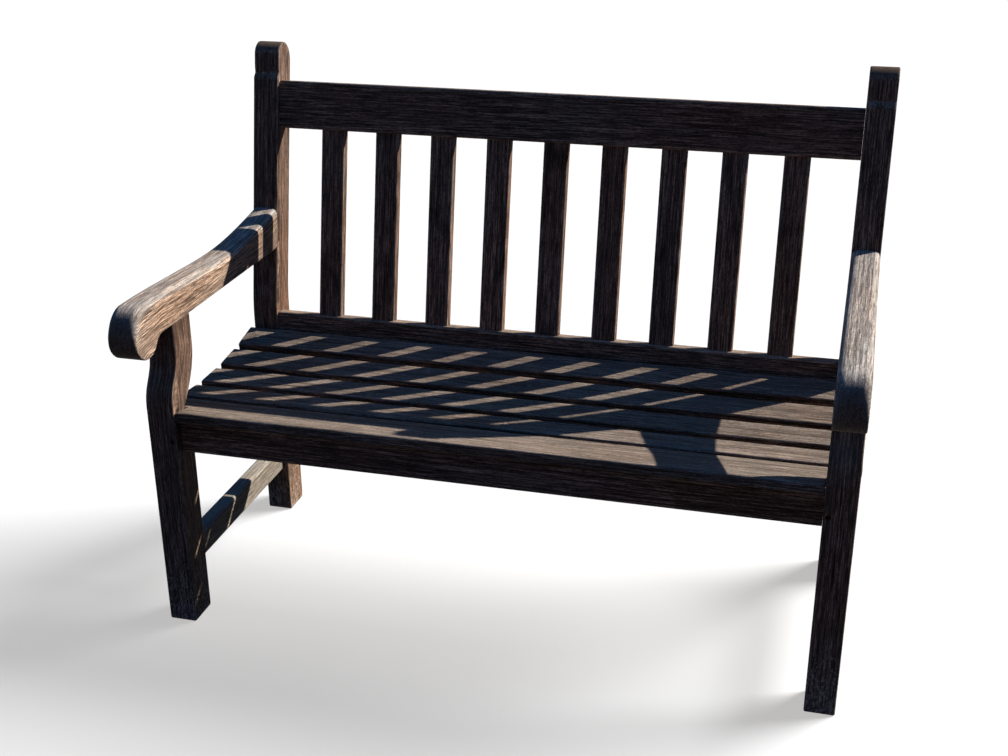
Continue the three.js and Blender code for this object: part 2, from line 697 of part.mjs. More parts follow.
function rearRailBoard() {
  return worked(acrossBench(bar(roundedRectangle(rearRail.y, rearRail.z, RAIL_EDGE), 2 * shoulderX)), {
    add: endTenons(rearRail.tenonY, rearRail.tenonZ),
    cut: [
      bearerMortise([rearRail.y[0] - OVERRUN, rearRail.y[0] + BEARER_TENON_LENGTH + JOINT_GAP]),
      ...endTenonPegHoles(rearRail.tenonY, rearRail.tenonZ),
    ],
  });
}

// Side seat rail: its top follows the dish
function sideRailBoard() {
  const [near, far] = sideRail.y;
  const outline = new THREE.Shape([
    new THREE.Vector2(near - RAIL_EDGE, sideRail.bottom),
    new THREE.Vector2(far + RAIL_EDGE, sideRail.bottom),
    ...dishLine(far + RAIL_EDGE, near - RAIL_EDGE),
  ]);
  const upright = [0, SEAT_HEIGHT];
  return worked(profileBoard(outline, SIDE_RAIL_THICKNESS, RAIL_EDGE), {
    trim: [
      block(acrossEnd, [near - OVERRUN, near], upright),
      block(acrossEnd, [far, far + OVERRUN], upright),
    ],
    add: [
      block(thinTenonX, [sideRail.tenonY[0], near + TENON_ROOT], sideRail.tenonZ),
      block(thinTenonX, [far - TENON_ROOT, sideRail.tenonY[1]], sideRail.tenonZ),
    ],
    cut: tenonPegHoles(endPegs.slice(0, 2)),
  });
}

// Centre bearer: follows the dish as far as the last slat, then steps down to the rear rail
function bearerBoard() {
  const [near, far] = bearer.y;
  const outline = new THREE.Shape([
    new THREE.Vector2(near, bearer.bottom),
    new THREE.Vector2(far, bearer.bottom),
    new THREE.Vector2(far, rearRail.z[1]),
    new THREE.Vector2(lastSlatEndY, rearRail.z[1]),
    ...dishLine(lastSlatEndY, near),
  ]);
  return worked(acrossBench(bar(outline, BEARER_THICKNESS)), {
    add: [
      block(thinTenonX, [near - JOINT_GAP - BEARER_TENON_LENGTH, near + TENON_ROOT], bearer.tenonZ),
      block(thinTenonX, [far - TENON_ROOT, far + JOINT_GAP + BEARER_TENON_LENGTH], bearer.tenonZ),
    ],
  });
}

function stretcherBoard() {
  const [near, far] = stretcher.y;
  const section = roundedRectangle(centred(0, STRETCHER_THICKNESS), stretcher.z, STRETCHER_EDGE);
  const straight = bar(section, far - near).rotateX(QUARTER_TURN).translate(0, middleOf(stretcher.y), 0);
  return worked(straight, {
    add: [
      block(thinTenonX, [stretcher.tenonY[0], near + TENON_ROOT], stretcher.tenonZ),
      block(thinTenonX, [far - TENON_ROOT, stretcher.tenonY[1]], stretcher.tenonZ),
    ],
    cut: tenonPegHoles(endPegs.slice(2)),
  });
}

// Seat slat: lies on the dish, with its own underside at Z = 0
function seatSlatBoard(slat, length) {
  const section = roundedRectangle(centred(0, slat.width), [0, SLAT_THICKNESS], SLAT_EDGE);
  return profileBoard(section, length, SLAT_END_EDGE, EDGE_STEPS);
}

// The front slat is notched round the front legs
function frontSlatBoard() {
  const toSlat = new THREE.Matrix4()
    .makeTranslation(...frontSlat.position)
    .multiply(new THREE.Matrix4().makeRotationX(frontSlat.tilt))
    .invert();
  const notches = SIDES.map(([, side]) => {
    const x = [side * (innerFaceX - NOTCH_CLEARANCE), side * (halfLength + OVERRUN)].sort((a, b) => a - b);
    return block(x, [-OVERRUN, LEG_WAIST + NOTCH_CLEARANCE], [0, 2 * SEAT_HEIGHT]).applyMatrix4(toSlat);
  });
  return worked(seatSlatBoard(frontSlat, BENCH_LENGTH), { cut: notches });
}

// Back: the slats are housed in the top rail and the lower rail
const backSlatY = [BACK_SLAT_SETBACK, BACK_SLAT_SETBACK + BACK_SLAT_THICKNESS];
const backSlatZ = [lowerRail.z[1] - BACK_SLAT_HOUSING, topRail.z[0] + BACK_SLAT_HOUSING];
const firstSlatX = innerFaceX - BACK_SLAT_END_SPACE - BACK_SLAT_WIDTH / 2;
const backSlatXs = Array.from({ length: BACK_SLAT_COUNT }, (_, index) => (
  THREE.MathUtils.lerp(-firstSlatX, firstSlatX, index / (BACK_SLAT_COUNT - 1))
));

function backRailBoard(rail, edge) {
  const housings = backSlatXs.map((x) => (
    block(grown(centred(x, BACK_SLAT_WIDTH)), grown(backSlatY), grown(backSlatZ))
  ));
  return worked(acrossBench(bar(roundedRectangle(rail.y, rail.z, edge), 2 * shoulderX)), {
    add: endTenons(rail.tenonY, rail.tenonZ),
    cut: [...housings, ...endTenonPegHoles(rail.tenonY, rail.tenonZ)],
  });
}

function backSlatBoard() {
  const section = roundedRectangle(centred(0, BACK_SLAT_WIDTH), backSlatY, RAIL_EDGE);
  return bar(section, backSlatZ[1] - backSlatZ[0]).translate(0, 0, middleOf(backSlatZ));
}

// Peg of a back rail, cut flush with the upright or raked back face of the leg
function backPeg(rail) {
  const along = [rail.tenonY[0] - PEG_END, postDepth + OVERRUN];
  const peg = pinAlongY(0, along, middleOf(rail.tenonZ), PEG_DIAMETER);
  const behindPost = block(acrossEnd, [postDepth, postDepth + 2 * OVERRUN], rail.z);
  const behindLeg = block(acrossEnd, [rearLegBackY, rearLegBackY + LEG_DEPTH], [0, bendHeight])
    .applyMatrix4(toBackFrame);
  return worked(peg, { cut: [rail === lowerRail ? behindLeg : behindPost] });
}

function armScrew() {
  const head = pinAlongY(0, [counterboreY, counterboreY + SCREW_HEAD_LENGTH], 0, SCREW_HEAD_DIAMETER);
  const shank = pinAlongY(0, [screwTipY, counterboreY + SCREW_HEAD_LENGTH / 2], 0, SCREW_SHANK_DIAMETER);
  return worked(head, { add: [shank] });
}

// Assembly
const bench = new THREE.Group();

function place(parent, name, geometry, colour, { position = [0, 0, 0], tilt = 0, metalness = 0 } = {}) {
  const roughness = metalness > 0 ? STEEL_ROUGHNESS : WOOD_ROUGHNESS;
  const material = new THREE.MeshStandardMaterial({ color: colour, roughness, metalness });
  const mesh = new THREE.Mesh(geometry, material);
  mesh.name = name;
  mesh.position.set(...position);
  mesh.rotation.x = tilt;
  parent.add(mesh);
}

function rakedGroup(parent) {
  const group = new THREE.Group();
  group.applyMatrix4(backFrame);
  parent.add(group);
  return group;
}

// Each end: legs, arm, side rail, stretcher and their fixings, with the middle of the legs at X = 0
for (const [label, side] of SIDES) {
  const end = new THREE.Group();
  end.position.x = side * legCentreX;
  bench.add(end);
  place(end, `front_leg_${label}`, frontLeg(side), FRAME_COLOUR);
  place(end, `rear_leg_${label}`, rearLeg(side), FRAME_COLOUR);
  place(end, `arm_${label}`, arm(), SEAT_COLOUR);
  place(end, `side_seat_rail_${label}`, sideRailBoard(), FRAME_COLOUR);
  place(end, `side_stretcher_${label}`, stretcherBoard(), FRAME_COLOUR);
  for (const { name, y, z } of endPegs) {
    const peg = pinAlongX(intoLeg(side, ...endPegDepths), 0, 0, PEG_DIAMETER);
    place(end, `${name}_${label}`, peg, PEG_COLOUR, { position: [0, y, z] });
  }
  const raked = rakedGroup(end);
  const position = [0, 0, armJoint.height];
  place(raked, `arm_screw_${label}`, armScrew(), STEEL_COLOUR, { position, metalness: 1 });
  const plug = pinAlongY(0, [postDepth - PLUG_LENGTH, postDepth], 0, PLUG_DIAMETER);
  place(raked, `arm_plug_${label}`, plug, PEG_COLOUR, { position });
}

// Seat
place(bench, 'front_rail', frontRailBoard(), FRAME_COLOUR);
place(bench, 'rear_seat_rail', rearRailBoard(), FRAME_COLOUR);
place(bench, 'centre_seat_bearer', bearerBoard(), FRAME_COLOUR);
place(bench, 'seat_slat_1', frontSlatBoard(), SEAT_COLOUR, frontSlat);
otherSlats.forEach((slat, index) => {
  const geometry = seatSlatBoard(slat, BENCH_LENGTH + 2 * SLAT_OVERHANG);
  place(bench, `seat_slat_${index + 2}`, geometry, SEAT_COLOUR, slat);
});

// Back
const back = rakedGroup(bench);
place(back, 'top_rail', backRailBoard(topRail, RAIL_EDGE), FRAME_COLOUR);
place(back, 'lower_back_rail', backRailBoard(lowerRail, RAIL_EDGE), FRAME_COLOUR);
backSlatXs.forEach((x, index) => {
  place(back, `back_slat_${index + 1}`, backSlatBoard(), FRAME_COLOUR, { position: [x, 0, 0] });
});

// Pegs of the long rails
for (const [label, side] of SIDES) {
  const x = side * pegX;
  const front = [x, 0, middleOf(frontRail.tenonZ)];
  const rear = [x, 0, middleOf(rearRail.tenonZ)];
  const frontPeg = pinAlongY(0, frontPegY, 0, PEG_DIAMETER);
  const rearPeg = pinAlongY(0, rearPegY, 0, PEG_DIAMETER);
  place(bench, `front_rail_peg_${label}`, frontPeg, PEG_COLOUR, { position: front });
  place(bench, `rear_seat_rail_peg_${label}`, rearPeg, PEG_COLOUR, { position: rear });
  place(back, `top_rail_peg_${label}`, backPeg(topRail), PEG_COLOUR, { position: [x, 0, 0] });
  place(back, `lower_back_rail_peg_${label}`, backPeg(lowerRail), PEG_COLOUR, { position: [x, 0, 0] });
}

// The origin goes to the ground under the middle of the bench
const bounds = new THREE.Box3().setFromObject(bench, true);
bench.position.y = -(bounds.min.y + bounds.max.y) / 2;

export default bench;
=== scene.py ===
"""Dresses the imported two-seat garden bench and sets it up for its portrait.

Everything is in metres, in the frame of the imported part: +X along the bench, +Y from its front to its
back, +Z up. Each board is cut from an outline, as a joiner would cut it, and carries its own grain
coordinates.
"""
import logging
import math
from collections.abc import Callable, Iterable, Sequence
from dataclasses import dataclass, field
from enum import Enum

import bmesh
import bpy
import numpy as np
from mathutils import Matrix, Vector


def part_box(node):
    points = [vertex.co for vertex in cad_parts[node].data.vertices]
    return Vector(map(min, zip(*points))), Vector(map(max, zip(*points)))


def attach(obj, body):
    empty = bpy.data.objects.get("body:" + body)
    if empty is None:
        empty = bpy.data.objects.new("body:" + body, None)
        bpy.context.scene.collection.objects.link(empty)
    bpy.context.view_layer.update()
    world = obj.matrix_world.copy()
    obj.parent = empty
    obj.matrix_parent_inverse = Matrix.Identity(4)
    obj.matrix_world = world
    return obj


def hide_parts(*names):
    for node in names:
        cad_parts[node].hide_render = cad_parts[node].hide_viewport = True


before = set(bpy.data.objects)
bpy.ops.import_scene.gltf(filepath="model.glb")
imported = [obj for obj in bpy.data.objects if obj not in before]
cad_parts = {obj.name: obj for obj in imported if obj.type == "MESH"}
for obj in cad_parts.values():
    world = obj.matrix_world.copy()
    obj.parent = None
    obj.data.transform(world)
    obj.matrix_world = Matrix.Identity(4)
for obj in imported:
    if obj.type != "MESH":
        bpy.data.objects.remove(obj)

LOG = logging.getLogger("bench")
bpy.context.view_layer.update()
BODY = "root"
Point = tuple[float, float]
Span = tuple[float, float]
Triple = tuple[float, float, float]
Colour = tuple[float, float, float, float]

# How finely the boards are cut
ROUND_STEPS = 4
BEND_STEPS = 8
CROWN_STEPS = 14
LEG_FRONT_STEPS = 24
LEG_BACK_STEPS = 32
ARM_STEPS = {"rise": 40, "fall": 60, "scroll": 28, "curl": 20, "throat": 10}
SUPPORT = 0.0012
SAME_POINT = 0.00001
SMOOTH_ANGLE = math.radians(35)
CORNER_ANGLE = math.radians(12)
WIDEST_MITRE = 1.5

# How the grain lies in the boards
END_GRAIN_FACING = (0.40, 0.85)
SWEEP_MARGIN = 0.02
SWEEP_STATIONS = 60
GRAIN_SHIFT = ((0.0, -0.03, -0.02), (9.0, 0.03, 0.02))
GRAIN_STEP = 1.37
GRAIN_TURNS = (2.4, 1.7)
GRAIN_SWINGS = (0.012, 0.008)
HEART_DEPTH = 0.024

# The place of each board in the grain pattern, and the random values of each set
GRAIN_SEEDS = {
    "left_end": 3, "right_end": 11, "front_slat": 21, "seat_slat": 22, "front_rail": 31, "rear_rail": 32,
    "bearer": 33, "top_rail": 41, "lower_rail": 42, "back_slat": 43,
}
SET_SEEDS = {"seat_slats": 4, "seat_plugs": 5, "back_slats": 9, "joint_pegs": 12, "arm_plugs": 13}

# The pegs and plugs
JOINT_PEG_DIAMETER = 0.009
ARM_PLUG_DIAMETER = 0.012
PEG_SHOWN_LENGTH = 0.0055
PEG_BELOW = 0.0002


def linear(value: int) -> float:
    """Turns one 8-bit display value into a linear share of light."""
    share = value / 255
    return share / 12.92 if share <= 0.04045 else ((share + 0.055) / 1.055) ** 2.4


def srgb(red: int, green: int, blue: int) -> Colour:
    """Turns an 8-bit display colour into Blender's linear one.

    Args:
        red, green, blue: the colour as it is seen, 0 to 255.

    Returns:
        The linear colour with full alpha.
    """
    return linear(red), linear(green), linear(blue), 1.0


# Outlines


def middle(span: Span) -> float:
    """Returns the middle of a span."""
    return (span[0] + span[1]) / 2


def centred(centre: float, width: float) -> Span:
    """Returns the span of a width about a centre."""
    return centre - width / 2, centre + width / 2


def third(start: float, end: float) -> float:
    """Returns the place a third of the way from one number to another."""
    return start + (end - start) / 3


def bezier(points: Sequence[Point], steps: int) -> list[Point]:
    """Follows a Bezier curve of any degree.

    Args:
        points: its control points, in order.
        steps: how many straight steps it is cut into.

    Returns:
        The points after the first, up to the last.
    """
    result = []
    for step in range(1, steps + 1):
        share = step / steps
        row = [Vector(point) for point in points]
        while len(row) > 1:
            row = [a.lerp(b, share) for a, b in zip(row, row[1:])]
        result.append(tuple(row[0]))
    return result


def rounded(start: Point, corner: Point, end: Point, steps: int = ROUND_STEPS) -> list[Point]:
    """Draws a rounded corner.

    Args:
        start, end: where the rounding starts and ends.
        corner: the sharp corner.
        steps: how many straight steps it is cut into.

    Returns:
        The points from the start to the end.
    """
    return [start, *bezier([start, corner, end], steps)]


def arc(centre: Point, radii: Point, start: float, end: float, steps: int) -> list[Point]:
    """Follows an arc of an ellipse, both ends included.

    Args:
        centre, radii: the ellipse.
        start, end: its limits, in radians.
        steps: how many straight steps it is cut into.

    Returns:
        The points along the arc.
    """
    angles = np.linspace(start, end, steps + 1)
    return [(centre[0] + radii[0] * math.cos(a), centre[1] + radii[1] * math.sin(a)) for a in angles]


def rounded_rectangle(across: Span, up: Span, radius: float, steps: int = ROUND_STEPS) -> list[Point]:
    """Draws a rectangle with rounded corners, anticlockwise.

    Args:
        across, up: its limits.
        radius: the corner radius.
        steps: how many straight steps a corner has.

    Returns:
        The outline.
    """
    corners = [
        (across[1] - radius, up[0] + radius, -1), (across[1] - radius, up[1] - radius, 0),
        (across[0] + radius, up[1] - radius, 1), (across[0] + radius, up[0] + radius, 2),
    ]
    quarter = math.pi / 2
    return [
        point for u, v, turn in corners
        for point in arc((u, v), (radius, radius), turn * quarter, (turn + 1) * quarter, steps)
    ]


def supported(outline: Sequence[Point], margin: float) -> list[Vector]:
    """Adds a point beside both ends of the long straight runs, so that they shade flat.

    Args:
        outline: the outline, anticlockwise.
        margin: how far from the corners the points are added.

    Returns:
        The outline with the added points.
    """
    points = [Vector(point) for point in outline]
    points = [point for index, point in enumerate(points) if (point - points[index - 1]).length > SAME_POINT]
    result = []
    for index, start in enumerate(points):
        end = points[(index + 1) % len(points)]
        result.append(start)
        length = (end - start).length
        if length > 3 * margin:
            result += [start.lerp(end, margin / length), start.lerp(end, 1 - margin / length)]
    return result


# Meshes and pieces


def ring_faces(rings: int, count: int) -> list[tuple[int, ...]]:
    """Joins rings of points with four-sided faces.

    Args:
        rings: how many rings there are.
        count: how many points each ring has.

    Returns:
        The faces.
    """
    pairs = list(enumerate([*range(1, count), 0]))
    return [
        (ring * count + here, ring * count + after, (ring + 1) * count + after, (ring + 1) * count + here)
        for ring in range(rings - 1) for here, after in pairs
    ]


def mark(mesh: bpy.types.Mesh, label: str, values: Sequence[float], domain: str = "POINT") -> None:
    """Stores a number on each point or face of a mesh."""
    mesh.attributes.new(label, "FLOAT", domain).data.foreach_set("value", values)


def mark_vectors(mesh: bpy.types.Mesh, label: str, vectors: Sequence[Sequence[float]]) -> None:
    """Stores a vector on each point of a mesh."""
    mesh.attributes.new(label, "FLOAT_VECTOR", "POINT").data.foreach_set("vector", np.ravel(vectors))


def shade(mesh: bpy.types.Mesh) -> None:
    """Shades a mesh smooth between its sharp edges."""
    mesh.polygons.foreach_set("use_smooth", [True] * len(mesh.polygons))
    mesh.set_sharp_from_angle(angle=SMOOTH_ANGLE)


def linked(name: str, data: bpy.types.ID) -> bpy.types.Object:
    """Puts an object into the scene.

    Args:
        name: its name.
        data: its data.

    Returns:
        The object.
    """
    thing = bpy.data.objects.new(name, data)
    bpy.context.scene.collection.objects.link(thing)
    return thing


class Plane(Enum):
    """The plane that a board's outline is drawn in, as the axes of the outline and of its thickness."""

    SIDE = (1, 2, 0)
    PLAN = (0, 1, 2)


class Grain(Enum):
    """The axis that a board's grain runs along."""

    X = 0
    Y = 1
    Z = 2


@dataclass
class Board:
    """A board cut from an outline, with all its edges rounded over.

    Attributes:
        outline: the outline, anticlockwise in its plane.
        plane: the plane of the outline.
        span: the limits of the board's thickness.
        edge: the radius of its edges, or a rule that gives it from the direction that the outline faces.
        grain: the axis that the grain runs along.
        seed: picks the board's own place in the grain pattern.
        holes: the ends and the diameter of each round hole.
        cuts: a point and the outward direction of each plane that the board is sawn off at.
        widest_edge: the largest radius that a rule for the edges gives.
    """

    outline: Sequence[Point]
    plane: Plane
    span: Span
    edge: float | Callable[[Vector], float]
    grain: Grain
    seed: int
    holes: Sequence[tuple[Vector, Vector, float]] = field(default_factory=tuple)
    cuts: Sequence[tuple[Vector, Vector]] = field(default_factory=tuple)
    widest_edge: float = 0.0

    def _corners(self) -> list[tuple[Vector, Vector, float, float]]:
        """Works out how each point of the outline moves inwards as the edges round over.

        Returns:
            Each point, its outward direction, its edge radius and how far it is a corner.
        """
        widest = self.widest_edge if callable(self.edge) else self.edge
        points = supported(self.outline, widest + 2 * SUPPORT)
        corners = []
        for index, point in enumerate(points):
            before = (point - points[index - 1]).normalized()
            after = (points[(index + 1) % len(points)] - point).normalized()
            turn = before.angle(after)
            facing = before + after
            outward = Vector((facing.y, -facing.x)).normalized()
            mitre = 1 / max(1 / WIDEST_MITRE, math.cos(turn / 2))
            radius = self.edge(outward) if callable(self.edge) else self.edge
            corners.append((point, outward * mitre, radius, min(1.0, turn / CORNER_ANGLE)))
        return corners

    def _rings(self) -> list[tuple[int, float, float]]:
        """Lists the rings of points from one face of the board to the other.

        Returns:
            For each ring the side of the board, the angle of its edge and its support distance.
        """
        angles = [step / ROUND_STEPS * math.pi / 2 for step in range(ROUND_STEPS + 1)]
        half = [(1, 0.0, -SUPPORT), *[(1, angle, 0.0) for angle in angles], (1, math.pi / 2, SUPPORT)]
        return [(-1, angle, support) for _, angle, support in reversed(half)] + half

    def mesh(self, name: str) -> bpy.types.Mesh:
        """Cuts the board.

        Args:
            name: the mesh's name.

        Returns:
            The mesh, in the board's own place, with its grain and edge attributes.
        """
        corners, rings = self._corners(), self._rings()
        centre, half = middle(self.span), (self.span[1] - self.span[0]) / 2
        vertices, edges = [], []
        for side, angle, support in rings:
            for point, outward, radius, corner in corners:
                inset = radius * (1 - math.cos(angle)) + max(support, 0.0)
                place = point - outward * inset
                level = centre + side * (half - radius + radius * math.sin(angle) + min(support, 0.0))
                vertices.append((place.x, place.y, level))
                edges.append(max(corner if support <= 0 else 0.0, math.sin(2 * angle)))
        count, top = len(corners), (len(rings) - 1) * len(corners)
        faces = ring_faces(len(rings), count)
        faces += [tuple(range(top, top + count)), tuple(reversed(range(count)))]
        order = np.argsort(self.plane.value)
        mesh = bpy.data.meshes.new(name)
        mesh.from_pydata(np.array(vertices)[:, order].tolist(), [], faces)
        mark(mesh, "edge", edges)
        mesh = self._worked(mesh)
        self._mark_grain(mesh)
        return mesh

    def _worked(self, mesh: bpy.types.Mesh) -> bpy.types.Mesh:
        """Bores the holes and saws off what lies beyond the cuts.

        Args:
            mesh: the plain board.

        Returns:
            The worked board.
        """
        if self.cuts:
            work = bmesh.new()
            work.from_mesh(mesh)
            for point, normal in self.cuts:
                saw(work, point, normal)
            work.to_mesh(mesh)
            work.free()
        if not self.holes:
            return mesh
        board = linked(mesh.name, mesh)
        cutters = []
        for start, end, diameter in self.holes:
            cutter = linked("cutter", pin_mesh(start, end, diameter))
            boolean = board.modifiers.new("hole", "BOOLEAN")
            boolean.object, boolean.operation, boolean.solver = cutter, "DIFFERENCE", "EXACT"
            cutters.append(cutter)
        result = frozen(board)
        for cutter in cutters:
            bpy.data.objects.remove(cutter)
        return result

    def _mark_grain(self, mesh: bpy.types.Mesh) -> None:
        """Stores where each point lies in the wood, how far on end grain, and how far its rings show.

        Args:
            mesh: the finished board.
        """
        count = len(mesh.vertices)
        places, facing = np.empty(count * 3), np.empty(count * 3)
        mesh.vertices.foreach_get("co", places)
        mesh.vertex_normals.foreach_get("vector", facing)
        places, facing = places.reshape(-1, 3), np.abs(facing.reshape(-1, 3))
        axes = self._wood_axes()
        shaped = self.plane is Plane.SIDE and self.grain is not Grain.X
        if shaped:
            places[:, axes[1]] -= self._sweep(places[:, axes[0]])
        places -= (places.min(axis=0) + places.max(axis=0)) / 2
        mark_vectors(mesh, "grain", places[:, axes] + self._offset())
        mark(mesh, "end_grain", np.interp(facing[:, axes[0]], END_GRAIN_FACING, (0.0, 1.0)))
        mark(mesh, "flat_sawn", np.full(count, 0.0 if shaped else 1.0))
        mark(mesh, "rings", 1 - facing[:, 0] if shaped else np.ones(count))
        shade(mesh)

    def _sweep(self, along: np.ndarray) -> np.ndarray:
        """Returns the line that a shaped board's fibres follow: the front of a leg, or the top of an arm.

        Args:
            along: places along the grain.

        Returns:
            The line's place across the grain at each of them.
        """
        outline = np.array([tuple(point) for point in self.outline])
        outline = outline[:, [self.plane.value.index(axis) for axis in self._wood_axes()[:2]]]
        following = np.roll(outline, -1, axis=0)
        pick = np.max if self.grain is Grain.Y else np.min
        first, last = outline[:, 0].min() + SWEEP_MARGIN, outline[:, 0].max() - SWEEP_MARGIN
        stations = np.linspace(first, last, SWEEP_STATIONS)
        line = []
        for station in stations:
            crossing = (outline[:, 0] > station) != (following[:, 0] > station)
            start, end = outline[crossing], following[crossing]
            share = (station - start[:, 0]) / (end[:, 0] - start[:, 0])
            line.append(pick(start[:, 1] + share * (end[:, 1] - start[:, 1])))
        return np.interp(along, stations, line)

    def _wood_axes(self) -> list[int]:
        """Picks the axes that the grain is measured in.

        Returns:
            The axes along the grain, across it and out of the board's broad face.
        """
        along, thickness = self.grain.value, self.plane.value[2]
        if along == thickness:
            return [(along + step) % 3 for step in range(3)]
        return [along, 3 - along - thickness, thickness]

    def _offset(self) -> np.ndarray:
        """Picks the board's own place in the grain pattern.

        Returns:
            The place, along the grain, across it and from the heart.
        """
        across = math.sin(self.seed * GRAIN_TURNS[0]) * GRAIN_SWINGS[0]
        depth = math.cos(self.seed * GRAIN_TURNS[1]) * GRAIN_SWINGS[1]
        return np.array([self.seed * GRAIN_STEP, across, HEART_DEPTH + depth])


def saw(work: bmesh.types.BMesh, point: Vector, normal: Vector) -> None:
    """Cuts off what lies on the far side of a plane and closes the cut.

    Args:
        work: the mesh to cut.
        point: a point on the plane.
        normal: the direction of what is cut off.
    """
    everything = [*work.verts, *work.edges, *work.faces]
    cut = bmesh.ops.bisect_plane(work, geom=everything, plane_co=point, plane_no=normal, clear_outer=True)
    rim = [item for item in cut["geom_cut"] if isinstance(item, bmesh.types.BMEdge)]
    bmesh.ops.contextual_create(work, geom=rim)


def pin_mesh(start: Vector, end: Vector, diameter: float, sides: int = 32) -> bpy.types.Mesh:
    """Makes a plain round pin, for boring a hole.

    Args:
        start, end: the ends of its centre line.
        diameter: its diameter.
        sides: how many sides it has.

    Returns:
        The mesh.
    """
    work = bmesh.new()
    along, radius = end - start, diameter / 2
    place = Matrix.Translation((start + end) / 2) @ along.to_track_quat("Z", "Y").to_matrix().to_4x4()
    bmesh.ops.create_cone(
        work, cap_ends=True, segments=sides, radius1=radius, radius2=radius, depth=along.length, matrix=place,
    )
    mesh = bpy.data.meshes.new("pin")
    work.to_mesh(mesh)
    work.free()
    return mesh


def frozen(piece: bpy.types.Object) -> bpy.types.Mesh:
    """Turns an object with modifiers into a plain mesh and removes the object.

    Args:
        piece: the object, which is linked to the scene.

    Returns:
        The finished mesh.
    """
    graph = bpy.context.evaluated_depsgraph_get()
    finished_piece = piece.evaluated_get(graph)
    mesh = bpy.data.meshes.new_from_object(finished_piece, preserve_all_data_layers=True, depsgraph=graph)
    bpy.data.objects.remove(piece)
    return mesh


def finished(
    name: str, mesh: bpy.types.Mesh, material: bpy.types.Material, replaced: Iterable[str],
    place: Matrix | None = None,
) -> bpy.types.Object:
    """Puts a finished mesh into the scene as a piece of the bench.

    Args:
        name: the piece's name.
        mesh: its mesh.
        material: its finish.
        replaced: the CAD nodes that it stands for.
        place: where it goes, if it isn't in place yet.

    Returns:
        The piece.
    """
    if place is not None:
        mesh.transform(place)
    mesh.materials.clear()
    mesh.materials.append(material)
    mesh.polygons.foreach_set("material_index", [0] * len(mesh.polygons))
    piece = linked(name, mesh)
    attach(piece, BODY)
    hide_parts(*replaced)
    LOG.info("%s: %d points", name, len(mesh.vertices))
    return piece


# Node graphs


@dataclass(frozen=True)
class Pattern:
    """A noise.

    Attributes:
        repeats: how often it repeats in a metre along each axis.
        detail: how many finer layers it has.
    """

    repeats: Triple
    detail: float


@dataclass(frozen=True)
class Ramp:
    """A smooth rise or fall.

    Attributes:
        low, high: where it starts and ends.
        start, end: what it gives there.
    """

    low: float
    high: float
    start: float = 0.0
    end: float = 1.0


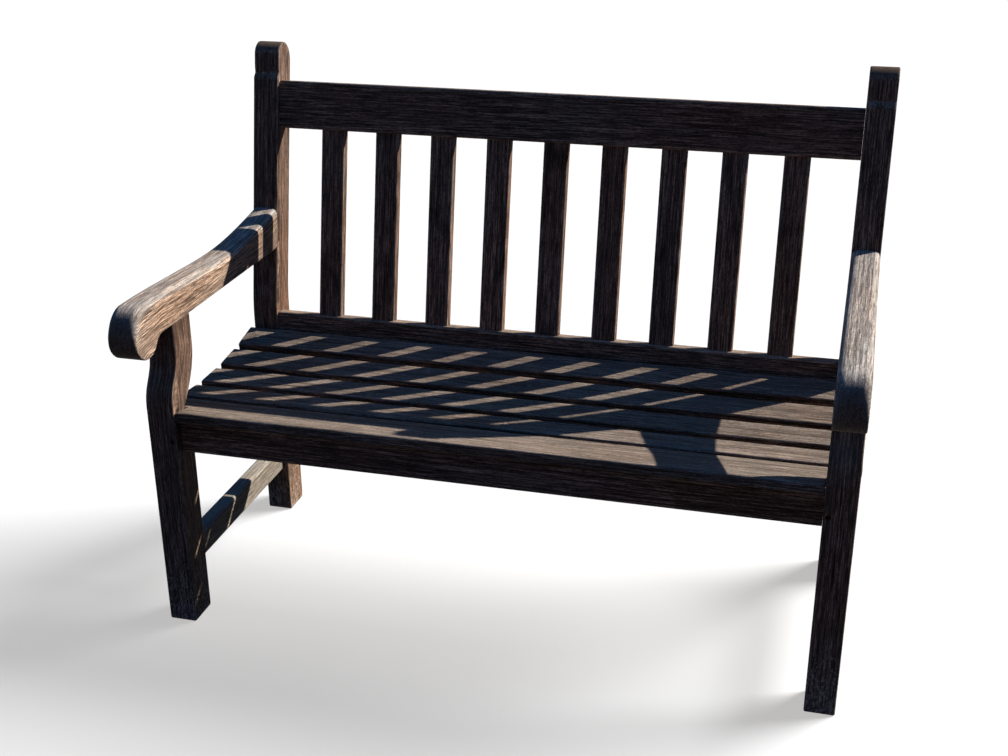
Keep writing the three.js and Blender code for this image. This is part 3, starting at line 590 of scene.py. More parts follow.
class Graph:
    """Adds nodes to a shader or geometry tree and links them."""

    def __init__(self, tree: bpy.types.NodeTree) -> None:
        """Starts on a tree."""
        self.tree = tree

    @classmethod
    def group(
        cls, name: str, kind: str, inputs: dict[str, str], outputs: dict[str, str],
    ) -> tuple["Graph", bpy.types.NodeOutputs, bpy.types.NodeInputs]:
        """Makes a new node group with named sockets.

        Args:
            name: the group's name.
            kind: the type of its tree.
            inputs, outputs: the type of each socket by its name.

        Returns:
            The graph of the group, what it is given, and what it has to give.
        """
        tree = bpy.data.node_groups.new(name, kind)
        for way, sockets in (("INPUT", inputs), ("OUTPUT", outputs)):
            for label, socket in sockets.items():
                tree.interface.new_socket(name=label, in_out=way, socket_type=f"NodeSocket{socket}")
        graph = cls(tree)
        return graph, graph.add("NodeGroupInput").outputs, graph.add("NodeGroupOutput").inputs

    def feed(self, socket: bpy.types.NodeSocket, value: object) -> None:
        """Links a socket to another one, or sets its value.

        Args:
            socket: the socket that is fed.
            value: a value, or the socket that it comes from.
        """
        if isinstance(value, bpy.types.NodeSocket):
            self.tree.links.new(value, socket)
        else:
            socket.default_value = value

    def add(
        self, kind: str, inputs: dict[str | int, object] | None = None, **settings: object,
    ) -> bpy.types.Node:
        """Adds a node.

        Args:
            kind: its type.
            inputs: a value or a socket for each of its inputs.
            settings: its other settings.

        Returns:
            The node.
        """
        node = self.tree.nodes.new(kind)
        for key, value in settings.items():
            setattr(node, key, value)
        for key, value in (inputs or {}).items():
            self.feed(node.inputs[key] if isinstance(key, int) else self.live(node.inputs, key), value)
        return node

    @staticmethod
    def live(sockets: Iterable[bpy.types.NodeSocket], label: str) -> bpy.types.NodeSocket:
        """Returns the socket in use that has a given name."""
        return next(socket for socket in sockets if socket.name == label and socket.enabled)

    def math(self, operation: str, *values: object) -> bpy.types.NodeSocket:
        """Returns the result of a sum on numbers."""
        return self.add("ShaderNodeMath", dict(enumerate(values)), operation=operation).outputs[0]

    def product(self, first: object, *others: object) -> bpy.types.NodeSocket:
        """Multiplies some numbers.

        Args:
            first, others: the numbers or their sockets.

        Returns:
            Their product.
        """
        for other in others:
            first = self.math("MULTIPLY", first, other)
        return first

    def vector(self, operation: str, *values: object) -> bpy.types.NodeSocket:
        """Returns the result of a sum on vectors."""
        return self.add("ShaderNodeVectorMath", dict(enumerate(values)), operation=operation).outputs[0]

    def scaled(self, vector: object, factor: object) -> bpy.types.NodeSocket:
        """Returns a vector or a colour times a number."""
        inputs = {0: vector, "Scale": factor}
        return self.add("ShaderNodeVectorMath", inputs, operation="SCALE").outputs[0]

    def joined(self, **parts: object) -> bpy.types.NodeSocket:
        """Returns a vector from its X, Y and Z, which are 0 where they aren't given."""
        return self.add("ShaderNodeCombineXYZ", parts).outputs[0]

    def parts(self, vector: object) -> bpy.types.NodeOutputs:
        """Returns the X, Y and Z of a vector."""
        return self.add("ShaderNodeSeparateXYZ", {0: vector}).outputs

    def mix(self, share: object, first: object, second: object, blend: str = "MIX") -> bpy.types.NodeSocket:
        """Returns a mix of two colours."""
        node = self.add("ShaderNodeMix", {0: share, 6: first, 7: second}, data_type="RGBA", blend_type=blend)
        return node.outputs[2]

    def ramp(self, value: object, ramp: Ramp) -> bpy.types.NodeSocket:
        """Returns what a ramp gives for a value."""
        inputs = {0: value, 1: ramp.low, 2: ramp.high, 3: ramp.start, 4: ramp.end}
        return self.add("ShaderNodeMapRange", inputs, interpolation_type="SMOOTHSTEP").outputs[0]

    def noise(self, place: object, pattern: Pattern) -> bpy.types.NodeSocket:
        """Returns a noise at a place."""
        inputs = {0: self.vector("MULTIPLY", place, pattern.repeats), "Scale": 1.0, "Detail": pattern.detail}
        return self.add("ShaderNodeTexNoise", inputs).outputs[0]

    def painted(self, name: str, output: str = "Fac") -> bpy.types.NodeSocket:
        """Returns an attribute of the mesh, for a material."""
        return self.add("ShaderNodeAttribute", attribute_name=name).outputs[output]

    def named(self, name: str, kind: str) -> bpy.types.NodeSocket:
        """Returns an attribute of the geometry, for a geometry tree."""
        return self.add("GeometryNodeInputNamedAttribute", {"Name": name}, data_type=kind).outputs[0]

    def stored(
        self, geometry: object, name: str, value: object, kind: str, domain: str = "POINT",
    ) -> bpy.types.NodeSocket:
        """Stores an attribute on a geometry.

        Args:
            geometry: the geometry.
            name: the attribute's name.
            value: its value.
            kind: the type of its data.
            domain: what carries it.

        Returns:
            The geometry with the attribute.
        """
        inputs = {"Geometry": geometry, "Name": name, "Value": value}
        node = self.add("GeometryNodeStoreNamedAttribute", inputs, data_type=kind, domain=domain)
        return node.outputs[0]

    def random(self, kind: str, inputs: dict[str | int, object]) -> bpy.types.NodeSocket:
        """Returns random values of one kind."""
        return self.live(self.add("FunctionNodeRandomValue", inputs, data_type=kind).outputs, "Value")


Placing = Callable[[Graph, bpy.types.NodeOutputs], bpy.types.NodeSocket]


def set_of_boards(name: str, source: dict[str, str], place_boards: Placing) -> bpy.types.NodeTree:
    """Builds a tree that repeats a board, each time with its own stretch of grain and its own tone.

    Args:
        name: the tree's name.
        source: the type of each of its inputs by its name, before the seed and the material.
        place_boards: gives the boards as instances, from the tree and its inputs.

    Returns:
        The tree, which ends in real meshes with their "grain" and "tone" stored and their material set.
    """
    graph, given, result = Graph.group(
        name, "GeometryNodeTree", {**source, "Seed": "Int", "Material": "Material"}, {"Boards": "Geometry"},
    )
    boards = place_boards(graph, given)
    index = graph.add("GeometryNodeInputIndex").outputs[0]
    marked = graph.stored(boards, "board", index, "INT", "INSTANCE")
    real = graph.add("GeometryNodeRealizeInstances", {0: marked}).outputs[0]
    own = {"ID": graph.named("board", "INT"), "Seed": given["Seed"]}
    shift = graph.random("FLOAT_VECTOR", {0: GRAIN_SHIFT[0], 1: GRAIN_SHIFT[1], **own})
    tone = graph.random("FLOAT", {2: -1.0, 3: 1.0, **own})
    grain = graph.vector("ADD", graph.named("grain", "FLOAT_VECTOR"), shift)
    real = graph.stored(real, "grain", grain, "FLOAT_VECTOR")
    real = graph.stored(real, "tone", tone, "FLOAT")
    dressed = graph.add("GeometryNodeSetMaterial", {"Geometry": real, "Material": given["Material"]})
    graph.feed(result["Boards"], dressed.outputs[0])
    return graph.tree


def place_round_dish(graph: Graph, given: bpy.types.NodeOutputs) -> bpy.types.NodeSocket:
    """Lays slats, whose undersides are at Z = 0, side by side round a dish.

    Args:
        graph: the tree.
        given: what the tree is given.

    Returns:
        The slats as instances.
    """
    index = graph.add("GeometryNodeInputIndex").outputs[0]
    tilt = graph.math("MULTIPLY_ADD", index, given["Turn"], given["First Tilt"])
    spoke = graph.joined(Y=graph.math("SINE", tilt), Z=graph.product(graph.math("COSINE", tilt), -1.0))
    place = graph.vector("ADD", graph.scaled(spoke, given["Reach"]), given["Centre"])
    points = graph.add("GeometryNodePoints", {"Count": given["Count"], "Position": place}).outputs[0]
    turned = graph.add("FunctionNodeEulerToRotation", {0: graph.joined(X=tilt)}).outputs[0]
    inputs = {"Points": points, "Instance": given["Slat"], "Rotation": turned}
    return graph.add("GeometryNodeInstanceOnPoints", inputs).outputs[0]


def place_in_row(graph: Graph, given: bpy.types.NodeOutputs) -> bpy.types.NodeSocket:
    """Stands slats, which are made about X = 0, in a row along X.

    Args:
        graph: the tree.
        given: what the tree is given.

    Returns:
        The slats as instances.
    """
    index = graph.add("GeometryNodeInputIndex").outputs[0]
    across = graph.joined(X=graph.math("MULTIPLY_ADD", index, given["Pitch"], given["First X"]))
    points = graph.add("GeometryNodePoints", {"Count": given["Count"], "Position": across}).outputs[0]
    return graph.add("GeometryNodeInstanceOnPoints", {"Points": points, "Instance": given["Slat"]}).outputs[0]


def place_pegs(graph: Graph, given: bpy.types.NodeOutputs) -> bpy.types.NodeSocket:
    """Drives a peg into each point, whose "outward" says which way the peg's end faces.

    Args:
        graph: the tree.
        given: what the tree is given.

    Returns:
        The pegs as instances.
    """
    outward = graph.named("outward", "FLOAT_VECTOR")
    aligned = graph.add("FunctionNodeAlignRotationToVector", {"Vector": outward}, axis="Z").outputs[0]
    peg = graph.live(graph.add("GeometryNodeObjectInfo", {"Object": given["Peg"]}).outputs, "Geometry")
    inputs = {"Points": given["Points"], "Instance": peg, "Rotation": aligned}
    pegs = graph.add("GeometryNodeInstanceOnPoints", inputs).outputs[0]
    turn = graph.joined(Z=graph.random("FLOAT", {2: 0.0, 3: given["Spin"], "Seed": given["Seed"]}))
    return graph.add("GeometryNodeRotateInstances", {"Instances": pegs, "Rotation": turn}).outputs[0]


def grown_by(
    tree: bpy.types.NodeTree, name: str, mesh: bpy.types.Mesh, values: dict[str, object],
) -> bpy.types.Mesh:
    """Runs a geometry tree on a mesh.

    Args:
        tree: the geometry tree.
        name: a name for the object that carries the mesh meanwhile.
        mesh: the mesh that the tree starts from.
        values: the tree's other inputs by name.

    Returns:
        The plain mesh that the tree makes.
    """
    carrier = linked(name, mesh)
    modifier = carrier.modifiers.new(tree.name, "NODES")
    modifier.node_group = tree
    sockets = {item.name: item.identifier for item in tree.interface.items_tree if item.in_out == "INPUT"}
    for label, value in values.items():
        modifier[sockets[label]] = value
    return frozen(carrier)


# The noises of the wood, whose axes run along its grain, across it and through the board
SWAY = Pattern((1.6, 8.0, 8.0), 1.0)
WARM_PATCHES = Pattern((1.7, 5.0, 5.0), 2.0)
BLOTCHES = Pattern((2.5, 10.0, 10.0), 3.0)
GREY_PATCHES = Pattern((5.0, 26.0, 26.0), 4.0)
STREAKS = Pattern((6.0, 380.0, 380.0), 4.0)
SPLITS = Pattern((7.0, 330.0, 330.0), 2.0)
RUBBED_AND_HIGHLIT_PATCHES = Pattern((22.0, 60.0, 60.0), 4.0)
FIBRES = Pattern((30.0, 900.0, 900.0), 3.0)
GREY_THREADS = Pattern((40.0, 900.0, 900.0), 2.0)
FLECKS = Pattern((200.0, 900.0, 900.0), 2.0)

# The noises of the soil and the steel, along X, Y and Z
SOIL_SPECKS = Pattern((520.0, 520.0, 150.0), 2.0)
TURNING_MARKS = Pattern((900.0, 900.0, 60.0), 3.0)

# How the noises shape the grain
RINGS_IN_FIBRES = Ramp(0.7, 0.4, 0.45, 1.0)
OPEN_SPLITS = Ramp(0.64, 0.70)
SPLIT_BLOTCHES = Ramp(0.40, 0.55)
LIGHT_STREAKS = Ramp(0.36, 0.64)
DARK_FIBRES = Ramp(0.60, 0.40, 0.0, 0.7)
DARK_FLECKS = Ramp(0.46, 0.30, 0.0, 0.5)
BLOTCH_TONES = Ramp(0.25, 0.75, 0.8, 1.2)
WARMTH = Ramp(0.35, 0.65)
FINE_FLECKS = Ramp(0.30, 0.70, 0.70, 1.35)
FINE_FIBRES = Ramp(0.35, 0.65, 0.68, 1.34)
FINE_STREAKS = Ramp(0.35, 0.65, 0.72, 1.28)

# How they shape the silvering, the worn edges with their painted highlight, the soil and the roughness
LOOKING_UP = Ramp(0.1, 0.95)
PATCHY_GREY = Ramp(0.3, 0.7, 0.65, 1.15)
THREADED_GREY = Ramp(0.35, 0.65, 0.7, 1.1)
BROKEN_RUBBING_AND_HIGHLIGHT = Ramp(0.38, 0.62)
SOILED_SPECKS = Ramp(0.66, 0.70)
SOIL_FADE = Ramp(0.0, 0.4)
GREY_ROUGHNESS = Ramp(0.0, 1.0, 0.62, 0.86)
MARK_LIMITS = (0.3, 0.7)

# The growth rings and the other parts of the grain
RING_SWAY = 0.012
RING_LEAN = 0.03
RING_SHARPNESS = 24.0
RING_SHARE = 0.8
CRACK_SHARE = 0.85
TONE_SHARE = 0.12
RING_HEIGHT = -0.3
FIBRE_HEIGHT = 0.5
COOL_TINT = (0.93, 1.0, 1.10, 1.0)
WARM_TINT = (1.12, 1.0, 0.92, 1.0)
CRACK_COLOUR = (0.004, 0.003, 0.002, 1.0)

# The end grain with shade painted into it, the soil and the relief
END_GRAIN_AND_SHADE_SHARE = 0.6
END_GRAIN_CALM = 0.75
SOIL_COLOUR = srgb(196, 184, 168)
SOIL_HEIGHT = 0.16
SOIL_SHARE = 0.6
SOIL_SPREAD = 0.16
RELIEF_STRENGTH = 0.55
RELIEF_DEPTH = 0.0007


def grain_group() -> bpy.types.NodeTree:
    """Builds the group that draws weathered grain.

    Returns:
        The group. It gives the wood's colour, how light its fine fibres are, its height and the mask of
        its open cracks.
    """
    graph, given, result = Graph.group(
        "weathered_grain", "ShaderNodeTree",
        {"Grain": "Vector", "Flat Sawn": "Float", "Rings": "Float", "Tone": "Float", "Ring Spacing": "Float",
         "Dark": "Color", "Mid": "Color", "Light": "Color"},
        {"Color": "Color", "Fine": "Float", "Height": "Float", "Cracks": "Float"},
    )
    place, flat_sawn = given["Grain"], given["Flat Sawn"]
    along, across, through = graph.parts(place)
    fibre = graph.noise(place, FIBRES)
    streak = graph.noise(place, STREAKS)
    fleck = graph.noise(place, FLECKS)
    blotch = graph.noise(place, BLOTCHES)

    sway = graph.product(graph.noise(place, SWAY), RING_SWAY)
    lean = graph.math("MULTIPLY_ADD", along, RING_LEAN, sway)
    depth = graph.math("MULTIPLY_ADD", lean, flat_sawn, through)
    off_heart = graph.product(across, flat_sawn)
    squares = graph.math("ADD", graph.product(off_heart, off_heart), graph.product(depth, depth))
    rings = graph.math("DIVIDE", graph.math("SQRT", squares), given["Ring Spacing"])
    wave = graph.math("MULTIPLY_ADD", graph.math("SINE", graph.product(rings, math.tau)), 0.5, 0.5)
    sharp = graph.math("POWER", wave, RING_SHARPNESS)
    late_wood = graph.product(sharp, graph.ramp(fibre, RINGS_IN_FIBRES), given["Rings"])
    split = graph.ramp(graph.noise(place, SPLITS), OPEN_SPLITS)
    cracks = graph.product(split, graph.ramp(blotch, SPLIT_BLOTCHES))

    colour = graph.mix(graph.ramp(streak, LIGHT_STREAKS), given["Mid"], given["Light"])
    for share in (
        graph.product(late_wood, RING_SHARE),
        graph.ramp(fibre, DARK_FIBRES),
        graph.ramp(fleck, DARK_FLECKS),
    ):
        colour = graph.mix(share, colour, given["Dark"])
    tone = graph.math("MULTIPLY_ADD", given["Tone"], TONE_SHARE, graph.ramp(blotch, BLOTCH_TONES))
    warmth = graph.ramp(graph.noise(place, WARM_PATCHES), WARMTH)
    tint = graph.mix(warmth, COOL_TINT, WARM_TINT)
    colour = graph.mix(1.0, graph.scaled(colour, tone), tint, "MULTIPLY")
    fine = graph.product(
        graph.ramp(fleck, FINE_FLECKS), graph.ramp(fibre, FINE_FIBRES), graph.ramp(streak, FINE_STREAKS),
    )
    relief = graph.math("MULTIPLY_ADD", late_wood, RING_HEIGHT, graph.product(fibre, FIBRE_HEIGHT))
    graph.feed(result["Color"], graph.mix(graph.product(cracks, CRACK_SHARE), colour, CRACK_COLOUR))
    graph.feed(result["Fine"], fine)
    graph.feed(result["Height"], graph.math("SUBTRACT", relief, cracks))
    graph.feed(result["Cracks"], cracks)
    return graph.tree


def silver_group() -> bpy.types.NodeTree:
    """Builds the group that says how far sun and rain have silvered the wood.

    Returns:
        The group. Its mask is high on faces that look up.
    """
    graph, given, result = Graph.group(
        "silvering", "ShaderNodeTree",
        {"Grain": "Vector", "Top": "Float", "Side": "Float"}, {"Mask": "Float"},
    )
    facing = graph.parts(graph.add("ShaderNodeNewGeometry").outputs["Normal"])[2]
    inputs = {0: graph.ramp(facing, LOOKING_UP), 2: given["Side"], 3: given["Top"]}
    amount = graph.add("ShaderNodeMix", inputs).outputs[0]
    patches = graph.ramp(graph.noise(given["Grain"], GREY_PATCHES), PATCHY_GREY)
    threads = graph.ramp(graph.noise(given["Grain"], GREY_THREADS), THREADED_GREY)
    mask = graph.add("ShaderNodeClamp", {0: graph.product(amount, patches, threads)}).outputs[0]
    graph.feed(result["Mask"], mask)
    return graph.tree


def wear_group() -> bpy.types.NodeTree:
    """Builds the group that says where the edges are worn, and where a highlight is painted along them.

    Returns:
        The group. Its mask is broken up along the edges. It is partly real wear and partly a painted
        highlight.
    """
    graph, given, result = Graph.group(
        "edge_wear", "ShaderNodeTree",
        {"Grain": "Vector", "Edge": "Float", "Amount": "Float"}, {"Mask": "Float"},
    )
    # Worn edges, with a painted highlight where light would catch the rounded edges.
    broken = graph.ramp(graph.noise(given["Grain"], RUBBED_AND_HIGHLIT_PATCHES), BROKEN_RUBBING_AND_HIGHLIGHT)
    graph.feed(result["Mask"], graph.product(broken, given["Edge"], given["Amount"]))
    return graph.tree


def dirt_group() -> bpy.types.NodeTree:
    """Builds the group that says where soil has splashed up from the ground.

    Returns:
        The group. Its mask fades with the height above the ground.
    """
    graph, given, result = Graph.group(
        "ground_dirt", "ShaderNodeTree", {"Position": "Vector", "Top": "Float"}, {"Mask": "Float"},
    )
    height = graph.parts(given["Position"])[2]
    near = graph.math("SUBTRACT", 1.0, graph.math("DIVIDE", height, given["Top"]))
    specks = graph.noise(given["Position"], SOIL_SPECKS)
    spread = graph.math("MULTIPLY_ADD", graph.math("MAXIMUM", near, 0.0), SOIL_SPREAD, specks)
    graph.feed(result["Mask"], graph.product(graph.ramp(spread, SOILED_SPECKS), graph.ramp(near, SOIL_FADE)))
    return graph.tree


class Groups:
    """The shader groups that the finishes share."""

    def __init__(self) -> None:
        """Builds each group once."""
        self.grain = grain_group()
        self.silver = silver_group()
        self.wear = wear_group()
        self.dirt = dirt_group()


# Finishes


@dataclass(frozen=True)
class WoodFinish:
    """A weathered hardwood.

    Attributes:
        name: the material's name.
        slot: the record's material slot; not used.
        dark, mid, light: the colours of its grain.
        silver: the colour that it greys to. Its worn edges, with the highlight painted on them, take this
            colour too.
        top, side: how far faces that look up, and the others, have greyed.
        ring_spacing: how far apart its growth rings are.
        wear: how far its edges are worn, and how strong the highlight painted along them is.
        specular: the strength of its reflections.
    """

    name: str
    slot: str
    dark: Colour
    mid: Colour
    light: Colour
    silver: Colour
    top: float
    side: float
    ring_spacing: float = 0.009
    wear: float = 0.5
    specular: float = 0.01

    def material(self, groups: Groups) -> bpy.types.Material:
        """Builds the material.

        Args:
            groups: the shader groups that the finishes share.

        Returns:
            The material.
        """
        material = bpy.data.materials.new(self.name)
        material.use_nodes = True
        graph = Graph(material.node_tree)
        shader = material.node_tree.nodes["Principled BSDF"].inputs
        grain, end = graph.painted("grain", "Vector"), graph.painted("end_grain")
        wood = graph.add("ShaderNodeGroup", {
            "Grain": grain, "Flat Sawn": graph.painted("flat_sawn"), "Rings": graph.painted("rings"),
            "Tone": graph.painted("tone"), "Ring Spacing": self.ring_spacing,
            "Dark": self.dark, "Mid": self.mid, "Light": self.light,
        }, node_tree=groups.grain).outputs
        silvering = graph.add("ShaderNodeGroup", {
            "Grain": grain, "Top": self.top, "Side": self.side,
        }, node_tree=groups.silver).outputs["Mask"]
        rubbed_and_highlit = graph.add("ShaderNodeGroup", {
            "Grain": grain, "Edge": graph.painted("edge"), "Amount": self.wear,
        }, node_tree=groups.wear).outputs["Mask"]
        dirt = graph.add("ShaderNodeGroup", {
            "Position": graph.add("ShaderNodeTexCoord").outputs["Object"], "Top": SOIL_HEIGHT,
        }, node_tree=groups.dirt).outputs["Mask"]
        silvered = graph.product(silvering, graph.math("SUBTRACT", 1.0, wood["Cracks"]))
        colour = graph.mix(silvered, wood["Color"], self.silver)
        # Edges painted paler: partly real wear, partly a painted highlight along them.
        colour = graph.mix(rubbed_and_highlit, colour, self.silver)
        # End grain painted darker: partly the wood's own darker end grain, partly painted shade, as on the
        # shaded fronts of the arms' noses.
        colour = graph.mix(graph.product(end, END_GRAIN_AND_SHADE_SHARE), colour, self.dark)
        calm = graph.math("MULTIPLY_ADD", end, -END_GRAIN_CALM, 1.0)
        fine = graph.math("MULTIPLY_ADD", graph.math("SUBTRACT", wood["Fine"], 1.0), calm, 1.0)
        colour = graph.scaled(colour, fine)
        colour = graph.mix(graph.product(dirt, SOIL_SHARE), colour, SOIL_COLOUR)
        relief = {"Strength": RELIEF_STRENGTH, "Distance": RELIEF_DEPTH, "Height": wood["Height"]}
        shader["Specular IOR Level"].default_value = self.specular
        graph.feed(shader["Base Color"], colour)
        graph.feed(shader["Roughness"], graph.ramp(silvered, GREY_ROUGHNESS))
        graph.feed(shader["Normal"], graph.add("ShaderNodeBump", relief).outputs[0])
        return material


@dataclass(frozen=True)
class SteelFinish:
    """A plain brushed steel.

    Attributes:
        name: the material's name.
        colour: the colour of the metal.
        roughness: its middle roughness.
        marks: how far its turning marks change the roughness.
    """

    name: str
    colour: Colour
    roughness: float = 0.4
    marks: float = 0.1

    def material(self) -> bpy.types.Material:
        """Builds the material, with fine turning marks.

        Returns:
            The material.
        """
        material = bpy.data.materials.new(self.name)
        material.use_nodes = True
        graph = Graph(material.node_tree)
        shader = material.node_tree.nodes["Principled BSDF"].inputs
        position = graph.add("ShaderNodeTexCoord").outputs["Object"]
        marks = graph.noise(position, TURNING_MARKS)
        ramp = Ramp(*MARK_LIMITS, self.roughness - self.marks, self.roughness + self.marks)
        shader["Metallic"].default_value = 1.0
        shader["Base Color"].default_value = self.colour
        graph.feed(shader["Roughness"], graph.ramp(marks, ramp))
        return material


FRAME_WOOD = WoodFinish(
    "weathered_frame_wood", "frame_wood", dark=srgb(30, 19, 16), mid=srgb(98, 74, 61),
    light=srgb(140, 111, 92), silver=srgb(160, 143, 127), top=0.8, side=0.10,
)
STRETCHER_WOOD = WoodFinish(
    "weathered_stretcher_wood", "frame_wood", dark=srgb(40, 30, 25), mid=srgb(166, 145, 124),
    light=srgb(216, 197, 172), silver=srgb(216, 206, 190), top=0.9, side=0.35,
)
SEAT_WOOD = WoodFinish(
    "weathered_seat_wood", "seat_wood", dark=srgb(30, 22, 18), mid=srgb(88, 70, 58),
    light=srgb(126, 104, 89), silver=srgb(140, 127, 115), top=0.85, side=0.10,
)
ARM_WOOD = WoodFinish(
    "weathered_arm_wood", "seat_wood", dark=srgb(46, 33, 26), mid=srgb(143, 120, 101),
    light=srgb(187, 164, 144), silver=srgb(166, 160, 153), top=0.75, side=0.10, wear=0.8,
)
PEG_WOOD = WoodFinish(
    "weathered_peg_wood", "peg_wood", dark=srgb(16, 11, 9), mid=srgb(38, 28, 24), light=srgb(58, 45, 38),
    silver=srgb(100, 90, 80), top=0.4, side=0.08, ring_spacing=0.0016,
)
SCREW_STEEL = SteelFinish("screw_steel", srgb(150, 150, 148))


# The bench


@dataclass(frozen=True)
class Plan:
    """The sizes that the parts of the bench share, with the front faces of the front legs at front_y.

    Attributes:
        front_y: those faces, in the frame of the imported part. Everything else is measured from them.
        length: the length over the legs.
        leg_width, leg_depth: the size of a leg.
        leg_waist: the depth of a front leg above its shoulder under the seat.
        clear_between_legs: the room between a front and a rear leg.
        seat_height: the height of the seat at its front.
        bend_above_seat, rake: where the posts start to lean back, and how far.
        post_depth, post_length: the size of a post above its bend.
        notch_start: how far up a post its notch starts.
        gap: the room between boards that meet.
    """

    front_y: float
    length: float = 1.2
    leg_width: float = 0.051
    leg_depth: float = 0.064
    leg_waist: float = 0.046
    clear_between_legs: float = 0.388
    seat_height: float = 0.421
    bend_above_seat: float = 0.034
    rake: float = math.radians(11)
    post_depth: float = 0.060
    post_length: float = 0.514
    notch_start: float = 0.446
    gap: float = 0.0003

    @property
    def inner_x(self) -> float:
        """Returns how far the inner faces of the legs are from the middle of the bench."""
        return self.length / 2 - self.leg_width

    @property
    def leg_x(self) -> float:
        """Returns how far the middles of the legs are from the middle of the bench."""
        return self.length / 2 - self.leg_width / 2

    @property
    def rear_leg_y(self) -> float:
        """Returns how far the rear legs are behind the front faces of the front legs."""
        return self.leg_depth + self.clear_between_legs

    @property
    def bend_height(self) -> float:
        """Returns the height at which the posts start to lean back."""
        return self.seat_height + self.bend_above_seat

    @property
    def to_bench(self) -> Matrix:
        """Returns the matrix that takes the bench's own frame to the part's."""
        return Matrix.Translation((0, self.front_y, 0))

    @property
    def back_frame(self) -> Matrix:
        """Returns the matrix of the raked back, with Y through the posts and Z up them."""
        bend = Matrix.Translation((0, self.rear_leg_y, self.bend_height))
        return bend @ Matrix.Rotation(-self.rake, 4, "X")

    def back_point(self, y: float, z: float) -> Point:
        """Returns a place of the raked back as Y and Z of the bench."""
        place = self.back_frame @ Vector((0, y, z))
        return place.y, place.z


@dataclass(frozen=True)
class Dish:
    """The arc that the undersides of the seat slats rest on, whose places are angles from its lowest line.

    Attributes:
        radius: its radius.
        lowest_y: where its lowest line is.
        top_at_front: its height at the front of the legs.
    """

    radius: float = 0.898
    lowest_y: float = 0.235
    top_at_front: float = 0.403

    @property
    def lowest(self) -> float:
        """Returns the height of the lowest line."""
        return self.top_at_front - self.rise(0)

    @property
    def centre(self) -> Vector:
        """Returns the middle of the arc."""
        return Vector((0, self.lowest_y, self.lowest + self.radius))

    def angle(self, y: float) -> float:
        """Returns the angle of a place that is given by its Y."""
        return math.asin((y - self.lowest_y) / self.radius)

    def turn(self, width: float) -> float:
        """Returns the angle between two places a straight width apart."""
        return 2 * math.asin(width / 2 / self.radius)

    def rise(self, y: float) -> float:
        """Returns how far the arc is above its lowest line."""
        return self.radius * (1 - math.cos(self.angle(y)))

    def line(self, start: float, end: float, gap: float, steps: int = 48) -> list[Point]:
        """Follows the arc from one Y to another, a small gap below it."""
        return [(y, self.lowest + self.rise(y) - gap) for y in np.linspace(start, end, steps + 1)]

    def frame(self, tilt: float, width: float) -> Matrix:
        """Finds the place of a board that touches the arc with both its edges.

        Args:
            tilt: the angle of its middle.
            width: its width.

        Returns:
            The matrix that lays it there.
        """
        reach = math.sqrt(self.radius ** 2 - (width / 2) ** 2)
        spoke = Vector((0, math.sin(tilt), -math.cos(tilt)))
        return Matrix.Translation(self.centre + spoke * reach) @ Matrix.Rotation(tilt, 4, "X")


class Side(Enum):
    """An end of the bench, as the sign of its X."""

    LEFT = -1
    RIGHT = 1

    @property
    def label(self) -> str:
        """Returns the word that ends the names of its nodes."""
        return self.name.lower()


